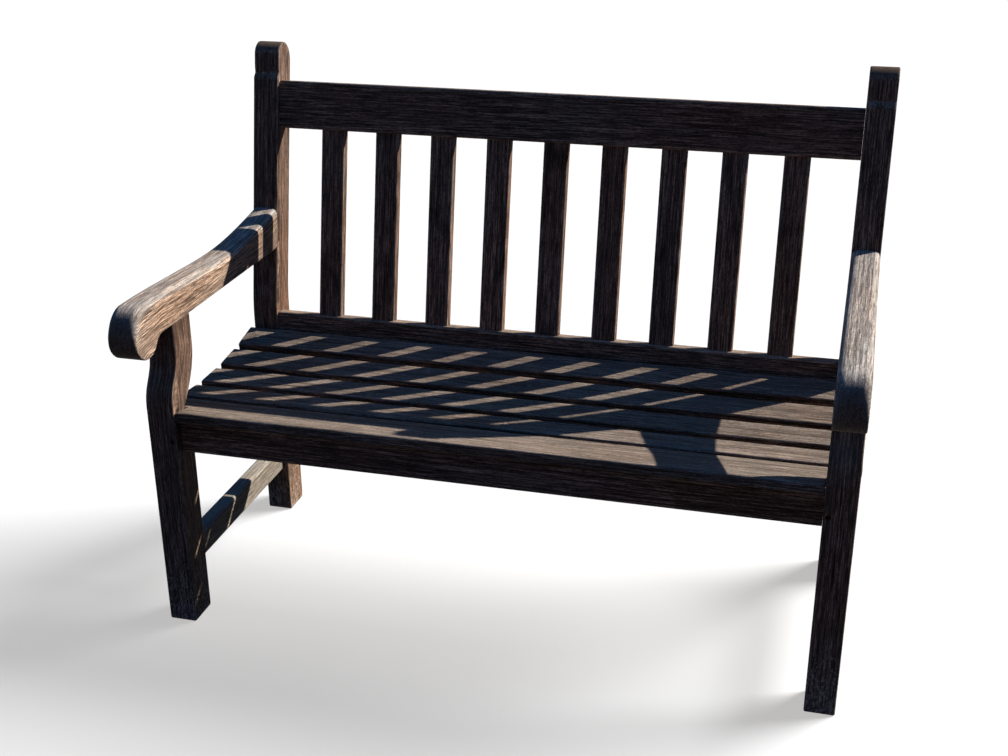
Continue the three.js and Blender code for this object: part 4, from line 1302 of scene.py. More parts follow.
@dataclass
class BenchEnd:
    """One end of the bench: its legs, arm, side rail and stretcher, drawn about the middle of its legs.

    Attributes:
        plan, seat: the rest of the bench.
        side: which end it is.
        edge, foot_edge: the radius of the edges, and of those under the feet.
        sweep, sweep_above_seat, sweep_rise: how far, from where and over what height a front leg sweeps back.
        waist_rise, waist_bulge, waist_bulge_rise, waist_top_handle: the curve behind that sweep.
        arm_above_seat: how far the arm's underside is above the seat.
        bend_softness: how far both sides of a post's bend are rounded.
        notch_depth, notch_height, bulge_setback: the notch in a post's front and the bulge above it.
        front_crown, back_crown: the height of the rounding on a post's top.
        nose_thickness, saddle_thickness, post_thickness: the arm at its nose, its dip and the post.
        saddle_y, arm_reach: where the dip is, and how far the nose stands out in front of the legs.
        scroll_drop, curl_radius, curl_start, throat_radius: the scroll under the nose.
        arm_top_edge, arm_edge_blend: the radius of the arm's top edges, and how slowly it dies out.
        rail_thickness, rail_least_height, rail_edge: the side rail.
        stretcher_span, stretcher_edge: the stretcher's height above the ground, and its edges.
        peg_hole, plug_hole, hole_depth: the holes over the pegs and the plug.
        leg_spare, arm_spare: how far the leg and the arm are drawn past their saw cuts.
    """

    plan: Plan
    seat: "Seat"
    side: Side
    edge: float = 0.003
    foot_edge: float = 0.005
    sweep: float = 0.030
    sweep_above_seat: float = 0.004
    sweep_rise: float = 0.095
    waist_rise: float = 0.102
    waist_bulge: float = 0.020
    waist_bulge_rise: float = 0.022
    waist_top_handle: float = 0.045
    arm_above_seat: float = 0.150
    bend_softness: float = 0.030
    notch_depth: float = 0.006
    notch_height: float = 0.009
    bulge_setback: float = 0.003
    front_crown: float = 0.025
    back_crown: float = 0.036
    nose_thickness: float = 0.064
    saddle_thickness: float = 0.0535
    post_thickness: float = 0.0775
    saddle_y: float = 0.270
    arm_reach: float = 0.097
    scroll_drop: float = 0.0295
    curl_radius: float = 0.037
    curl_start: float = math.radians(235)
    throat_radius: float = 0.026
    arm_top_edge: float = 0.012
    arm_edge_blend: float = 0.6
    rail_thickness: float = 0.030
    rail_least_height: float = 0.047
    rail_edge: float = 0.003
    stretcher_span: Span = (0.095, 0.145)
    stretcher_edge: float = 0.006
    peg_hole: float = 0.0096
    plug_hole: float = 0.0126
    hole_depth: float = 0.006
    leg_spare: float = 0.01
    arm_spare: float = 0.04

    @property
    def arm_height(self) -> float:
        """Returns the height of the arm's underside."""
        return self.plan.seat_height + self.arm_above_seat

    @property
    def place(self) -> Matrix:
        """Returns the matrix that takes this end to its place."""
        return self.plan.to_bench @ Matrix.Translation((self.side.value * self.plan.leg_x, 0, 0))

    def front_leg_outline(self) -> list[Point]:
        """Draws the front leg from the side: straight, shouldered under the seat, then swept back in an S.

        Returns:
            The outline, as Y and Z from the front of the legs and the ground.
        """
        plan, foot, under = self.plan, self.foot_edge, self.seat.under_front_slat
        start = plan.seat_height + self.sweep_above_seat
        end, half = start + self.sweep_rise, start + self.sweep_rise / 2
        back, waist, waist_end = plan.leg_depth, plan.leg_waist, end - self.waist_rise
        top = self.arm_height + self.leg_spare
        behind = [
            (waist, waist_end), (waist + self.waist_bulge, waist_end + self.waist_bulge_rise),
            (back + self.sweep, end - self.waist_top_handle), (back + self.sweep, end),
        ]
        ahead = [(self.sweep, end), (self.sweep, half), (0, half), (0, start)]
        return [
            (foot, 0), *rounded((back - foot, 0), (back, 0), (back, foot)),
            (back, under(back)), (waist, under(waist)), (waist, waist_end), *bezier(behind, LEG_BACK_STEPS),
            (back + self.sweep, top), (self.sweep, top), (self.sweep, end), *bezier(ahead, LEG_FRONT_STEPS),
            *rounded((0, foot), (0, 0), (foot, 0))[:-1],
        ]

    def rear_leg_outline(self) -> list[Point]:
        """Draws the rear leg from the side: upright, then raked, with a notched and crowned top.

        Returns:
            The outline, as Y and Z from the front of the legs and the ground.
        """
        plan, foot, soft = self.plan, self.foot_edge, self.bend_softness
        front, back, depth = plan.rear_leg_y, plan.rear_leg_y + plan.leg_depth, plan.post_depth
        turn = (plan.leg_depth - depth * math.cos(plan.rake)) / math.sin(plan.rake)
        bend_back, soft_back = plan.back_point(depth, turn), plan.back_point(depth, turn + soft)
        bend_front, soft_front = (front, plan.bend_height), plan.back_point(0, soft)
        quarter = math.pi / 2
        back_middle = (depth / 2, plan.post_length - self.back_crown)
        back_arc = arc(back_middle, (depth / 2, self.back_crown), 0, quarter, CROWN_STEPS)
        front_middle = (depth / 2, plan.post_length - self.front_crown)
        front_radii = (depth / 2 - self.bulge_setback, self.front_crown)
        front_arc = arc(front_middle, front_radii, quarter, 2 * quarter, CROWN_STEPS)
        notch = (self.notch_depth, plan.notch_start + self.notch_height)
        waist = [front_arc[-1], (self.bulge_setback, plan.notch_start + 2 * self.notch_height), notch]
        crown = [*back_arc, *front_arc[1:], *bezier(waist, BEND_STEPS), (0, plan.notch_start)]
        return [
            (front + foot, 0), *rounded((back - foot, 0), (back, 0), (back, foot)),
            *rounded((back, bend_back[1] - soft), bend_back, soft_back, BEND_STEPS),
            *[plan.back_point(y, z) for y, z in crown],
            *rounded(soft_front, bend_front, (front, plan.bend_height - soft), BEND_STEPS),
            *rounded((front, foot), (front, 0), (front + foot, 0))[:-1],
        ]

    def arm_outline(self) -> list[Point]:
        """Draws the arm from the side: a flat underside, a dipped top and a scrolled nose.

        Returns:
            The outline, which runs into the post.
        """
        plan, base = self.plan, self.arm_height
        radius = (self.nose_thickness + self.scroll_drop) / 2
        nose = Vector((radius - self.arm_reach, base - self.scroll_drop + radius))
        towards = Vector((math.cos(self.curl_start), math.sin(self.curl_start)))
        curl = nose + towards * (radius - self.curl_radius)
        throat_z = base - self.throat_radius
        reach = self.curl_radius + self.throat_radius
        throat_y = curl.x + math.sqrt(reach ** 2 - (curl.y - throat_z) ** 2)
        curl_end = math.atan2(throat_z - curl.y, throat_y - curl.x)
        top, saddle = base + self.post_thickness, base + self.saddle_thickness
        nose_top, saddle_y = base + self.nose_thickness, self.saddle_y
        end = plan.rear_leg_y + (top - plan.bend_height) * math.tan(plan.rake)
        past = end + self.arm_spare
        rise = [
            (end, top), (third(end, saddle_y), (top + saddle) / 2), (third(saddle_y, end), saddle),
            (saddle_y, saddle),
        ]
        fall = [
            (saddle_y, saddle), (third(saddle_y, nose.x), saddle), (third(nose.x, saddle_y), nose_top),
            (nose.x, nose_top),
        ]
        half, curl_radii, throat_radii = math.pi, (self.curl_radius,) * 2, (self.throat_radius,) * 2
        scroll = arc(tuple(nose), (radius, radius), half / 2, self.curl_start, ARM_STEPS["scroll"])
        under = arc(tuple(curl), curl_radii, self.curl_start, 2 * half + curl_end, ARM_STEPS["curl"])
        throat = arc((throat_y, throat_z), throat_radii, half + curl_end, half / 2, ARM_STEPS["throat"])
        return [
            (throat_y, base), (past, base), (past, top), (end, top), *bezier(rise, ARM_STEPS["rise"]),
            *bezier(fall, ARM_STEPS["fall"]), *scroll[1:], *under[1:], *throat[1:-1],
        ]

    def arm_edge(self, outward: Vector) -> float:
        """Rounds the arm's edges: fully on its top, and less and less down the front of the nose.

        Args:
            outward: the direction that the outline faces.

        Returns:
            The edge's radius.
        """
        share = min(1.0, max(0.0, (outward.y / self.arm_edge_blend + 1) / 2))
        share = share * share * (3 - 2 * share)
        return self.edge + (self.arm_top_edge - self.edge) * share

    def peg_holes(self, nodes: Sequence[str]) -> list[tuple[Vector, Vector, float]]:
        """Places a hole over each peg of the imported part.

        Args:
            nodes: the pegs that go into this leg.

        Returns:
            The ends and the diameter of each hole, in the frame of this end.
        """
        back = self.place.inverted()
        holes = []
        for name in nodes:
            end, outward = peg_end(f"{name}_{self.side.label}", self.plan)
            end = back @ end
            diameter = self.plug_hole if name == "arm_plug" else self.peg_hole
            holes.append((end - outward * self.hole_depth, end + outward * self.hole_depth, diameter))
        return holes

    def side_rail_outline(self) -> list[Point]:
        """Draws the side rail from the side, with the dish in its top.

        Returns:
            The outline, which runs past both legs' faces.
        """
        near, far = self.plan.leg_depth - 2 * self.rail_edge, self.plan.rear_leg_y + 2 * self.rail_edge
        dish = self.seat.dish
        bottom = dish.lowest - self.rail_least_height
        return [(near, bottom), (far, bottom), *dish.line(far, near, self.plan.gap)]

    def boards(self) -> dict[str, Board]:
        """Lays out the boards of this end.

        Returns:
            Each board, by the CAD node that it stands for.
        """
        plan, seed = self.plan, GRAIN_SEEDS[f"{self.side.label}_end"]
        across, rail_across = centred(0, plan.leg_width), centred(0, self.rail_thickness)
        up, back = Vector((0, 0, 1)), Vector((0, 1, 0))
        shoulders = [
            (Vector((0, plan.leg_depth + plan.gap, 0)), -back),
            (Vector((0, plan.rear_leg_y - plan.gap, 0)), back),
        ]
        post_face = (plan.back_frame @ Vector((0, -plan.gap, 0)), plan.back_frame.to_3x3() @ back)
        past = 2 * self.stretcher_edge
        near, far, (low, high) = plan.leg_depth - past, plan.rear_leg_y + past, self.stretcher_span
        stretcher = [(near, low), (far, low), (far, high), (near, high)]
        return {
            "front_leg": Board(
                self.front_leg_outline(), Plane.SIDE, across, self.edge, Grain.Z, seed,
                holes=self.peg_holes(["front_rail_peg", "side_rail_front_peg", "stretcher_front_peg"]),
                cuts=[(Vector((0, 0, self.arm_height - plan.gap)), up)],
            ),
            "rear_leg": Board(
                self.rear_leg_outline(), Plane.SIDE, across, self.edge, Grain.Z, seed + 1,
                holes=self.peg_holes([
                    "rear_seat_rail_peg", "side_rail_rear_peg", "stretcher_rear_peg", "top_rail_peg",
                    "lower_back_rail_peg", "arm_plug",
                ]),
            ),
            "arm": Board(
                self.arm_outline(), Plane.SIDE, across, self.arm_edge, Grain.Y, seed + 2, cuts=[post_face],
                widest_edge=self.arm_top_edge,
            ),
            "side_seat_rail": Board(
                self.side_rail_outline(), Plane.SIDE, rail_across, self.rail_edge, Grain.Y, seed + 4,
                cuts=shoulders,
            ),
            "side_stretcher": Board(
                stretcher, Plane.SIDE, rail_across, self.stretcher_edge, Grain.Y, seed + 3, cuts=shoulders,
            ),
        }

    def build(
        self, frame_wood: bpy.types.Material, arm_wood: bpy.types.Material,
        stretcher_wood: bpy.types.Material,
    ) -> None:
        """Makes the legs, the arm, the side rail and the stretcher of this end.

        Args:
            frame_wood: the finish of the legs and the side rail.
            arm_wood: the finish of the arm.
            stretcher_wood: the finish of the stretcher.
        """
        woods = {"arm": (arm_wood, "seat_wood"), "side_stretcher": (stretcher_wood, "frame_wood")}
        for name, board in self.boards().items():
            node = f"{name}_{self.side.label}"
            material, slot = woods.get(name, (frame_wood, "frame_wood"))
            finished(f"{node}_board", board.mesh(f"{node}_board"), material, [node], self.place)


def peg_end(node: str, plan: Plan) -> tuple[Vector, Vector]:
    """Finds the end of a peg that shows.

    Args:
        node: the peg's CAD node.
        plan: the bench's plan.

    Returns:
        The middle of its outer end, and the direction that the end faces.
    """
    low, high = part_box(node)
    centre = (low + high) / 2
    if node.startswith("front_rail"):
        return Vector((centre.x, low.y, centre.z)), Vector((0, -1, 0))
    if node.startswith(("side_rail", "stretcher")):
        sign = math.copysign(1, centre.x)
        return Vector((high.x if sign > 0 else low.x, centre.y, centre.z)), Vector((sign, 0, 0))
    if node.startswith(("rear_seat_rail", "lower_back_rail")):
        return Vector((centre.x, high.y, centre.z)), Vector((0, 1, 0))
    to_back = (plan.to_bench @ plan.back_frame).inverted()
    raked = to_back @ centre
    end = Vector((raked.x, plan.post_depth, raked.z))
    return to_back.inverted() @ end, plan.back_frame.to_3x3() @ Vector((0, 1, 0))


@dataclass
class Seat:
    """The dished seat: its slats, and the rails and the bearer that carry them.

    Attributes:
        plan, dish: what it is laid out by.
        slat_thickness, slat_gap, slat_count: the equal slats and the room between them.
        slat_edge, slat_end_edge: the radius of a slat's long edges, and of its ends.
        front_width, front_gap, front_setback: the front slat, the room behind it, and how far in it starts.
        overhang: how far the equal slats reach past the legs.
        last_clearance, notch_clearance: the room before the rear legs and round the front legs.
        rail_edge, end_edge: the edges of the rails, and of their ends.
        front_rail_span, front_rail_height: the front rail.
        bearer_thickness, bearer_least_height: the bearer.
        plug_diameter, plug_depth, plug_below: a plug, and how far it is under the face.
        plug_hole, front_plug_row: its hole, and the row of them in the front slat.
    """

    plan: Plan
    dish: Dish
    slat_thickness: float = 0.018
    slat_gap: float = 0.022
    slat_count: int = 4
    slat_edge: float = 0.004
    slat_end_edge: float = 0.002
    front_width: float = 0.114
    front_gap: float = 0.016
    overhang: float = 0.003
    front_setback: float = 0.001
    last_clearance: float = 0.007
    notch_clearance: float = 0.001
    rail_edge: float = 0.003
    end_edge: float = 0.0004
    front_rail_span: Span = (0.020, 0.050)
    front_rail_height: float = 0.060
    bearer_thickness: float = 0.036
    bearer_least_height: float = 0.030
    plug_diameter: float = 0.0095
    plug_hole: float = 0.0100
    plug_depth: float = 0.0020
    plug_below: float = 0.00005
    front_plug_row: float = 0.030

    @property
    def front_tilt(self) -> float:
        """Returns the tilt of the front slat."""
        return self.dish.angle(self.front_setback) + self.dish.turn(self.front_width) / 2

    @property
    def first_start(self) -> float:
        """Returns the angle at which the first of the equal slats starts."""
        return self.front_tilt + self.dish.turn(self.front_width) / 2 + self.dish.turn(self.front_gap)

    @property
    def last_end_y(self) -> float:
        """Returns where the last slat ends."""
        return self.plan.rear_leg_y - self.last_clearance

    @property
    def slat_turn(self) -> float:
        """Returns the angle that each equal slat takes."""
        gaps = (self.slat_count - 1) * self.dish.turn(self.slat_gap)
        return (self.dish.angle(self.last_end_y) - self.first_start - gaps) / self.slat_count

    @property
    def slat_width(self) -> float:
        """Returns the width of the equal slats."""
        return 2 * self.dish.radius * math.sin(self.slat_turn / 2)

    def under_front_slat(self, y: float) -> float:
        """Returns the height of the front slat's underside, less the gap."""
        place = self.dish.frame(self.front_tilt, self.front_width).translation
        return place.z + (y - place.y) * math.tan(self.front_tilt) - self.plan.gap

    def slat_edges(self, outward: Vector) -> float:
        """Returns the edge radius of a slat: larger on its long edges than on its ends."""
        return self.slat_end_edge + (self.slat_edge - self.slat_end_edge) * abs(outward.y)

    def plug_places(self, rows: Sequence[float]) -> list[Vector]:
        """Returns the tops of the plugs of one slat, which sit over the side rails and the bearer.

        Args:
            rows: the rows of plugs, as distances from the slat's middle line.

        Returns:
            The places, in the slat's own frame.
        """
        columns = (-self.plan.leg_x, 0, self.plan.leg_x)
        return [Vector((x, y, self.slat_thickness)) for x in columns for y in rows]

    def slat_board(self, outline: Sequence[Point], seed: int, plugs: Iterable[Vector]) -> Board:
        """Lays out a slat with its underside at Z = 0 and its plug holes bored.

        Args:
            outline: its outline from above.
            seed: picks its own place in the grain pattern.
            plugs: the tops of its plugs.

        Returns:
            The board.
        """
        depth = Vector((0, 0, self.plug_depth))
        return Board(
            outline, Plane.PLAN, (0, self.slat_thickness), self.slat_edges, Grain.X, seed,
            holes=[(top - depth, top + depth, self.plug_hole) for top in plugs], widest_edge=self.slat_edge,
        )

    def front_outline(self) -> list[Point]:
        """Draws the front slat from above, notched round the front legs.

        Returns:
            The outline, about the slat's middle.
        """
        place = self.dish.frame(self.front_tilt, self.front_width).translation
        end, half = self.plan.length / 2, self.front_width / 2
        notch_x = self.plan.inner_x - self.notch_clearance
        notch_y = (self.plan.leg_waist + self.notch_clearance - place.y) / math.cos(self.front_tilt)
        right = [(notch_x, -half), (notch_x, notch_y), (end, notch_y), (end, half)]
        return [*right, *[(-x, y) for x, y in reversed(right)]]

    def rail_outline(self) -> list[Point]:
        """Draws the front rail's section, whose top follows the front slat.

        Returns:
            The section, as Y and Z.
        """
        (near, far), under, edge = self.front_rail_span, self.under_front_slat, self.rail_edge
        bottom = under(near) - self.front_rail_height
        return [
            (near + edge, bottom), *rounded((far - edge, bottom), (far, bottom), (far, bottom + edge)),
            (far, under(far)), (near, under(near)),
            *rounded((near, bottom + edge), (near, bottom), (near + edge, bottom))[:-1],
        ]

    def build(self, frame_wood: bpy.types.Material, seat_wood: bpy.types.Material) -> None:
        """Makes the rails, the bearer, the slats and their plugs.

        Args:
            frame_wood: the finish of the rails and the bearer.
            seat_wood: the finish of the slats and the plugs.
        """
        self._build_frame(frame_wood)
        plugs = self._build_front_slat(seat_wood) + self._build_slats(seat_wood)
        pegs = Pegs(self.plug_diameter, self.plug_depth, self.plug_below, across=True)
        pegs.build("seat_plugs", plugs, seat_wood, "seat_wood")

    def _plug_ends(self, place: Matrix, plugs: Sequence[Vector]) -> list[tuple[Vector, Vector]]:
        """Returns the middle of each plug's top and the way that it looks, for a slat in its place."""
        return [(place @ plug, place.to_3x3() @ Vector((0, 0, 1))) for plug in plugs]

    def _build_front_slat(self, wood: bpy.types.Material) -> list[tuple[Vector, Vector]]:
        """Makes the front slat.

        Args:
            wood: its finish.

        Returns:
            The ends of its plugs.
        """
        plugs = self.plug_places([self.front_plug_row])
        place = self.plan.to_bench @ self.dish.frame(self.front_tilt, self.front_width)
        slat = self.slat_board(self.front_outline(), GRAIN_SEEDS["front_slat"], plugs)
        finished("front_slat_board", slat.mesh("front_slat_board"), wood, ["seat_slat_1"], place)
        return self._plug_ends(place, plugs)

    def _build_slats(self, wood: bpy.types.Material) -> list[tuple[Vector, Vector]]:
        """Makes the equal slats.

        Args:
            wood: their finish.

        Returns:
            The ends of their plugs.
        """
        to_bench, half, plugs = self.plan.to_bench, self.slat_width / 2, self.plug_places([0])
        end = self.plan.length / 2 + self.overhang
        outline = [(-end, -half), (end, -half), (end, half), (-end, half)]
        slat = self.slat_board(outline, GRAIN_SEEDS["seat_slat"], plugs).mesh("seat_slat")
        first_tilt = self.first_start + self.slat_turn / 2
        pitch = self.slat_turn + self.dish.turn(self.slat_gap)
        tree = set_of_boards("dished_slats", {
            "Slat": "Geometry", "Count": "Int", "Reach": "Float", "Centre": "Vector", "First Tilt": "Float",
            "Turn": "Float",
        }, place_round_dish)
        slats = grown_by(tree, "seat_slats", slat, {
            "Count": self.slat_count, "Reach": math.sqrt(self.dish.radius ** 2 - half ** 2),
            "Centre": tuple(to_bench @ self.dish.centre), "First Tilt": first_tilt, "Turn": pitch,
            "Seed": SET_SEEDS["seat_slats"], "Material": wood,
        })
        nodes = [f"seat_slat_{number}" for number in range(2, self.slat_count + 2)]
        finished("seat_slat_boards", slats, wood, nodes)
        tilts = [first_tilt + number * pitch for number in range(self.slat_count)]
        places = [to_bench @ self.dish.frame(tilt, self.slat_width) for tilt in tilts]
        return [plug_end for place in places for plug_end in self._plug_ends(place, plugs)]

    def _build_frame(self, wood: bpy.types.Material) -> None:
        """Makes the front rail, the rear rail and the bearer.

        Args:
            wood: their finish.
        """
        plan = self.plan
        shoulder = plan.inner_x - plan.gap
        rear_low, rear_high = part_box("rear_seat_rail")
        rear_near, rear_far = rear_low.y - plan.front_y, rear_high.y - plan.front_y
        rear = rounded_rectangle((rear_near, rear_far), (rear_low.z, rear_high.z), self.rail_edge)
        near, far = self.front_rail_span[1] + plan.gap, rear_near - plan.gap
        bottom = self.dish.lowest - self.bearer_least_height
        bearer = [
            (near, bottom), (far, bottom), (far, rear_high.z), (self.last_end_y, rear_high.z),
            *self.dish.line(self.last_end_y, near, plan.gap),
        ]
        across, bearer_across = (-shoulder, shoulder), centred(0, self.bearer_thickness)
        for kind, node, outline, span, grain in (
            ("front_rail", "front_rail", self.rail_outline(), across, Grain.X),
            ("rear_rail", "rear_seat_rail", rear, across, Grain.X),
            ("bearer", "centre_seat_bearer", bearer, bearer_across, Grain.Y),
        ):
            board = Board(outline, Plane.SIDE, span, self.end_edge, grain, GRAIN_SEEDS[kind])
            finished(f"{kind}_board", board.mesh(f"{kind}_board"), wood, [node], plan.to_bench)


@dataclass
class Back:
    """The raked back: its top rail, its lower rail and its slats.

    Attributes:
        plan: the bench's plan.
        top_drop, top_height, top_thickness, top_setback: the top rail, from the notches and the front.
        lower_drop, lower_height, lower_thickness, lower_setback: the lower rail, from the bend and the front.
        slat_count, slat_width, slat_thickness, slat_setback, slat_edge: the slats.
        rail_edge, end_edge: the edges of the rails, and of all ends.
        end_space, housing: the room beside the end slats, and how far the slats go into the rails.
    """

    plan: Plan
    top_drop: float = 0.004
    top_height: float = 0.090
    top_thickness: float = 0.032
    top_setback: float = 0.008
    lower_drop: float = 0.009
    lower_height: float = 0.042
    lower_thickness: float = 0.032
    lower_setback: float = 0.008
    slat_count: int = 9
    slat_width: float = 0.046
    slat_thickness: float = 0.022
    slat_setback: float = 0.013
    slat_edge: float = 0.003
    rail_edge: float = 0.0045
    end_space: float = 0.086
    housing: float = 0.001
    end_edge: float = 0.0004

    def _build_rail(self, kind: str, node: str, through: Span, up: Span, wood: bpy.types.Material) -> None:
        """Makes a rail of the back.

        Args:
            kind: the rail.
            node: the CAD node that it stands for.
            through, up: its limits in the frame of the back.
            wood: its finish.
        """
        plan = self.plan
        shoulder = plan.inner_x - plan.gap
        section = rounded_rectangle(through, up, self.rail_edge)
        board = Board(section, Plane.SIDE, (-shoulder, shoulder), self.end_edge, Grain.X, GRAIN_SEEDS[kind])
        place = plan.to_bench @ plan.back_frame
        finished(f"{kind}_board", board.mesh(f"{kind}_board"), wood, [node], place)

    def build(self, wood: bpy.types.Material) -> None:
        """Makes the rails and the slats.

        Args:
            wood: their finish.
        """
        plan, top, low = self.plan, self.plan.notch_start - self.top_drop, -self.lower_drop
        top_through = (self.top_setback, self.top_setback + self.top_thickness)
        self._build_rail("top_rail", "top_rail", top_through, (top - self.top_height, top), wood)
        lower_through = (self.lower_setback, self.lower_setback + self.lower_thickness)
        self._build_rail("lower_rail", "lower_back_rail", lower_through, (low - self.lower_height, low), wood)
        span = (low - self.housing, top - self.top_height + self.housing)
        slat_through = (self.slat_setback, self.slat_setback + self.slat_thickness)
        section = rounded_rectangle(centred(0, self.slat_width), slat_through, self.slat_edge)
        slat = Board(section, Plane.PLAN, span, self.end_edge, Grain.Z, GRAIN_SEEDS["back_slat"])
        first = plan.inner_x - self.end_space - self.slat_width / 2
        tree = set_of_boards("slat_row", {
            "Slat": "Geometry", "Count": "Int", "First X": "Float", "Pitch": "Float",
        }, place_in_row)
        slats = grown_by(tree, "back_slats", slat.mesh("back_slat"), {
            "Count": self.slat_count, "First X": -first, "Pitch": 2 * first / (self.slat_count - 1),
            "Seed": SET_SEEDS["back_slats"], "Material": wood,
        })
        nodes = [f"back_slat_{number}" for number in range(1, self.slat_count + 1)]
        finished("back_slat_boards", slats, wood, nodes, plan.to_bench @ plan.back_frame)


@dataclass
class Pegs:
    """A set of equal pegs, each cut off a little below the face that it is driven into.

    Attributes:
        diameter, length: the size of a peg.
        below: how far its end is under the face.
        across: whether its grain runs across it, along the board that it sits in.
        dome, edge: how far its end is domed, and the width of its bevel.
        sides: how many sides it has.
        spin: how far a peg whose grain runs across it may be turned.
    """

    diameter: float
    length: float
    below: float
    across: bool = False
    dome: float = 0.0003
    edge: float = 0.0004
    sides: int = 28
    spin: float = 0.3

    def peg_mesh(self) -> bpy.types.Mesh:
        """Turns one peg.

        Returns:
            The mesh, whose outer end faces +Z at Z = 0.
        """
        radius, rim = self.diameter / 2, -self.below - self.dome
        profile = [
            (radius, -self.length), (radius, rim - self.edge), (radius - self.edge, rim),
            (radius / 2, -self.below - self.dome / 4),
        ]
        vertices = [
            (r * math.cos(turn), r * math.sin(turn), z)
            for r, z in profile for turn in np.linspace(0, math.tau, self.sides, endpoint=False)
        ]
        vertices += [(0, 0, -self.below)]
        last = (len(profile) - 1) * self.sides
        faces = ring_faces(len(profile), self.sides)
        faces += [(last + i, last + (i + 1) % self.sides, len(vertices) - 1) for i in range(self.sides)]
        faces += [tuple(reversed(range(self.sides)))]
        mesh = bpy.data.meshes.new("peg")
        mesh.from_pydata(vertices, [], faces)
        mark_vectors(mesh, "grain", vertices if self.across else np.roll(vertices, 1, axis=1))
        mark(mesh, "end_grain", [0.0 if self.across else 1.0] * len(faces), "FACE")
        for label in ("flat_sawn", "rings"):
            mark(mesh, label, [1.0] * len(vertices))
        shade(mesh)
        return mesh

    def build(
        self, name: str, places: Sequence[tuple[Vector, Vector]], wood: bpy.types.Material, slot: str,
        replaced: Iterable[str] = (),
    ) -> None:
        """Drives a peg into each place.

        Args:
            name: the name of the piece.
            places: the middle of the face over each peg, and the way that the face looks.
            wood: the pegs' finish.
            slot: the record's material slot of the finish; not used.
            replaced: the CAD nodes that the pegs stand for.
        """
        points = bpy.data.meshes.new("points")
        points.from_pydata([tuple(place) for place, _ in places], [], [])
        mark_vectors(points, "outward", [tuple(facing) for _, facing in places])
        peg = bpy.data.objects.new("peg", self.peg_mesh())
        sources = {"Points": "Geometry", "Peg": "Object", "Spin": "Float"}
        tree = set_of_boards("driven_pegs", sources, place_pegs)
        pegs = grown_by(tree, name, points, {
            "Peg": peg, "Spin": self.spin if self.across else math.tau, "Seed": SET_SEEDS[name],
            "Material": wood,
        })
        bpy.data.objects.remove(peg)
        finished(name, pegs, wood, replaced)


class Lit(Enum):
    """What a lamp lights, as the floor's state in its light linking."""

    FLOOR = "INCLUDE"
    BENCH = "EXCLUDE"


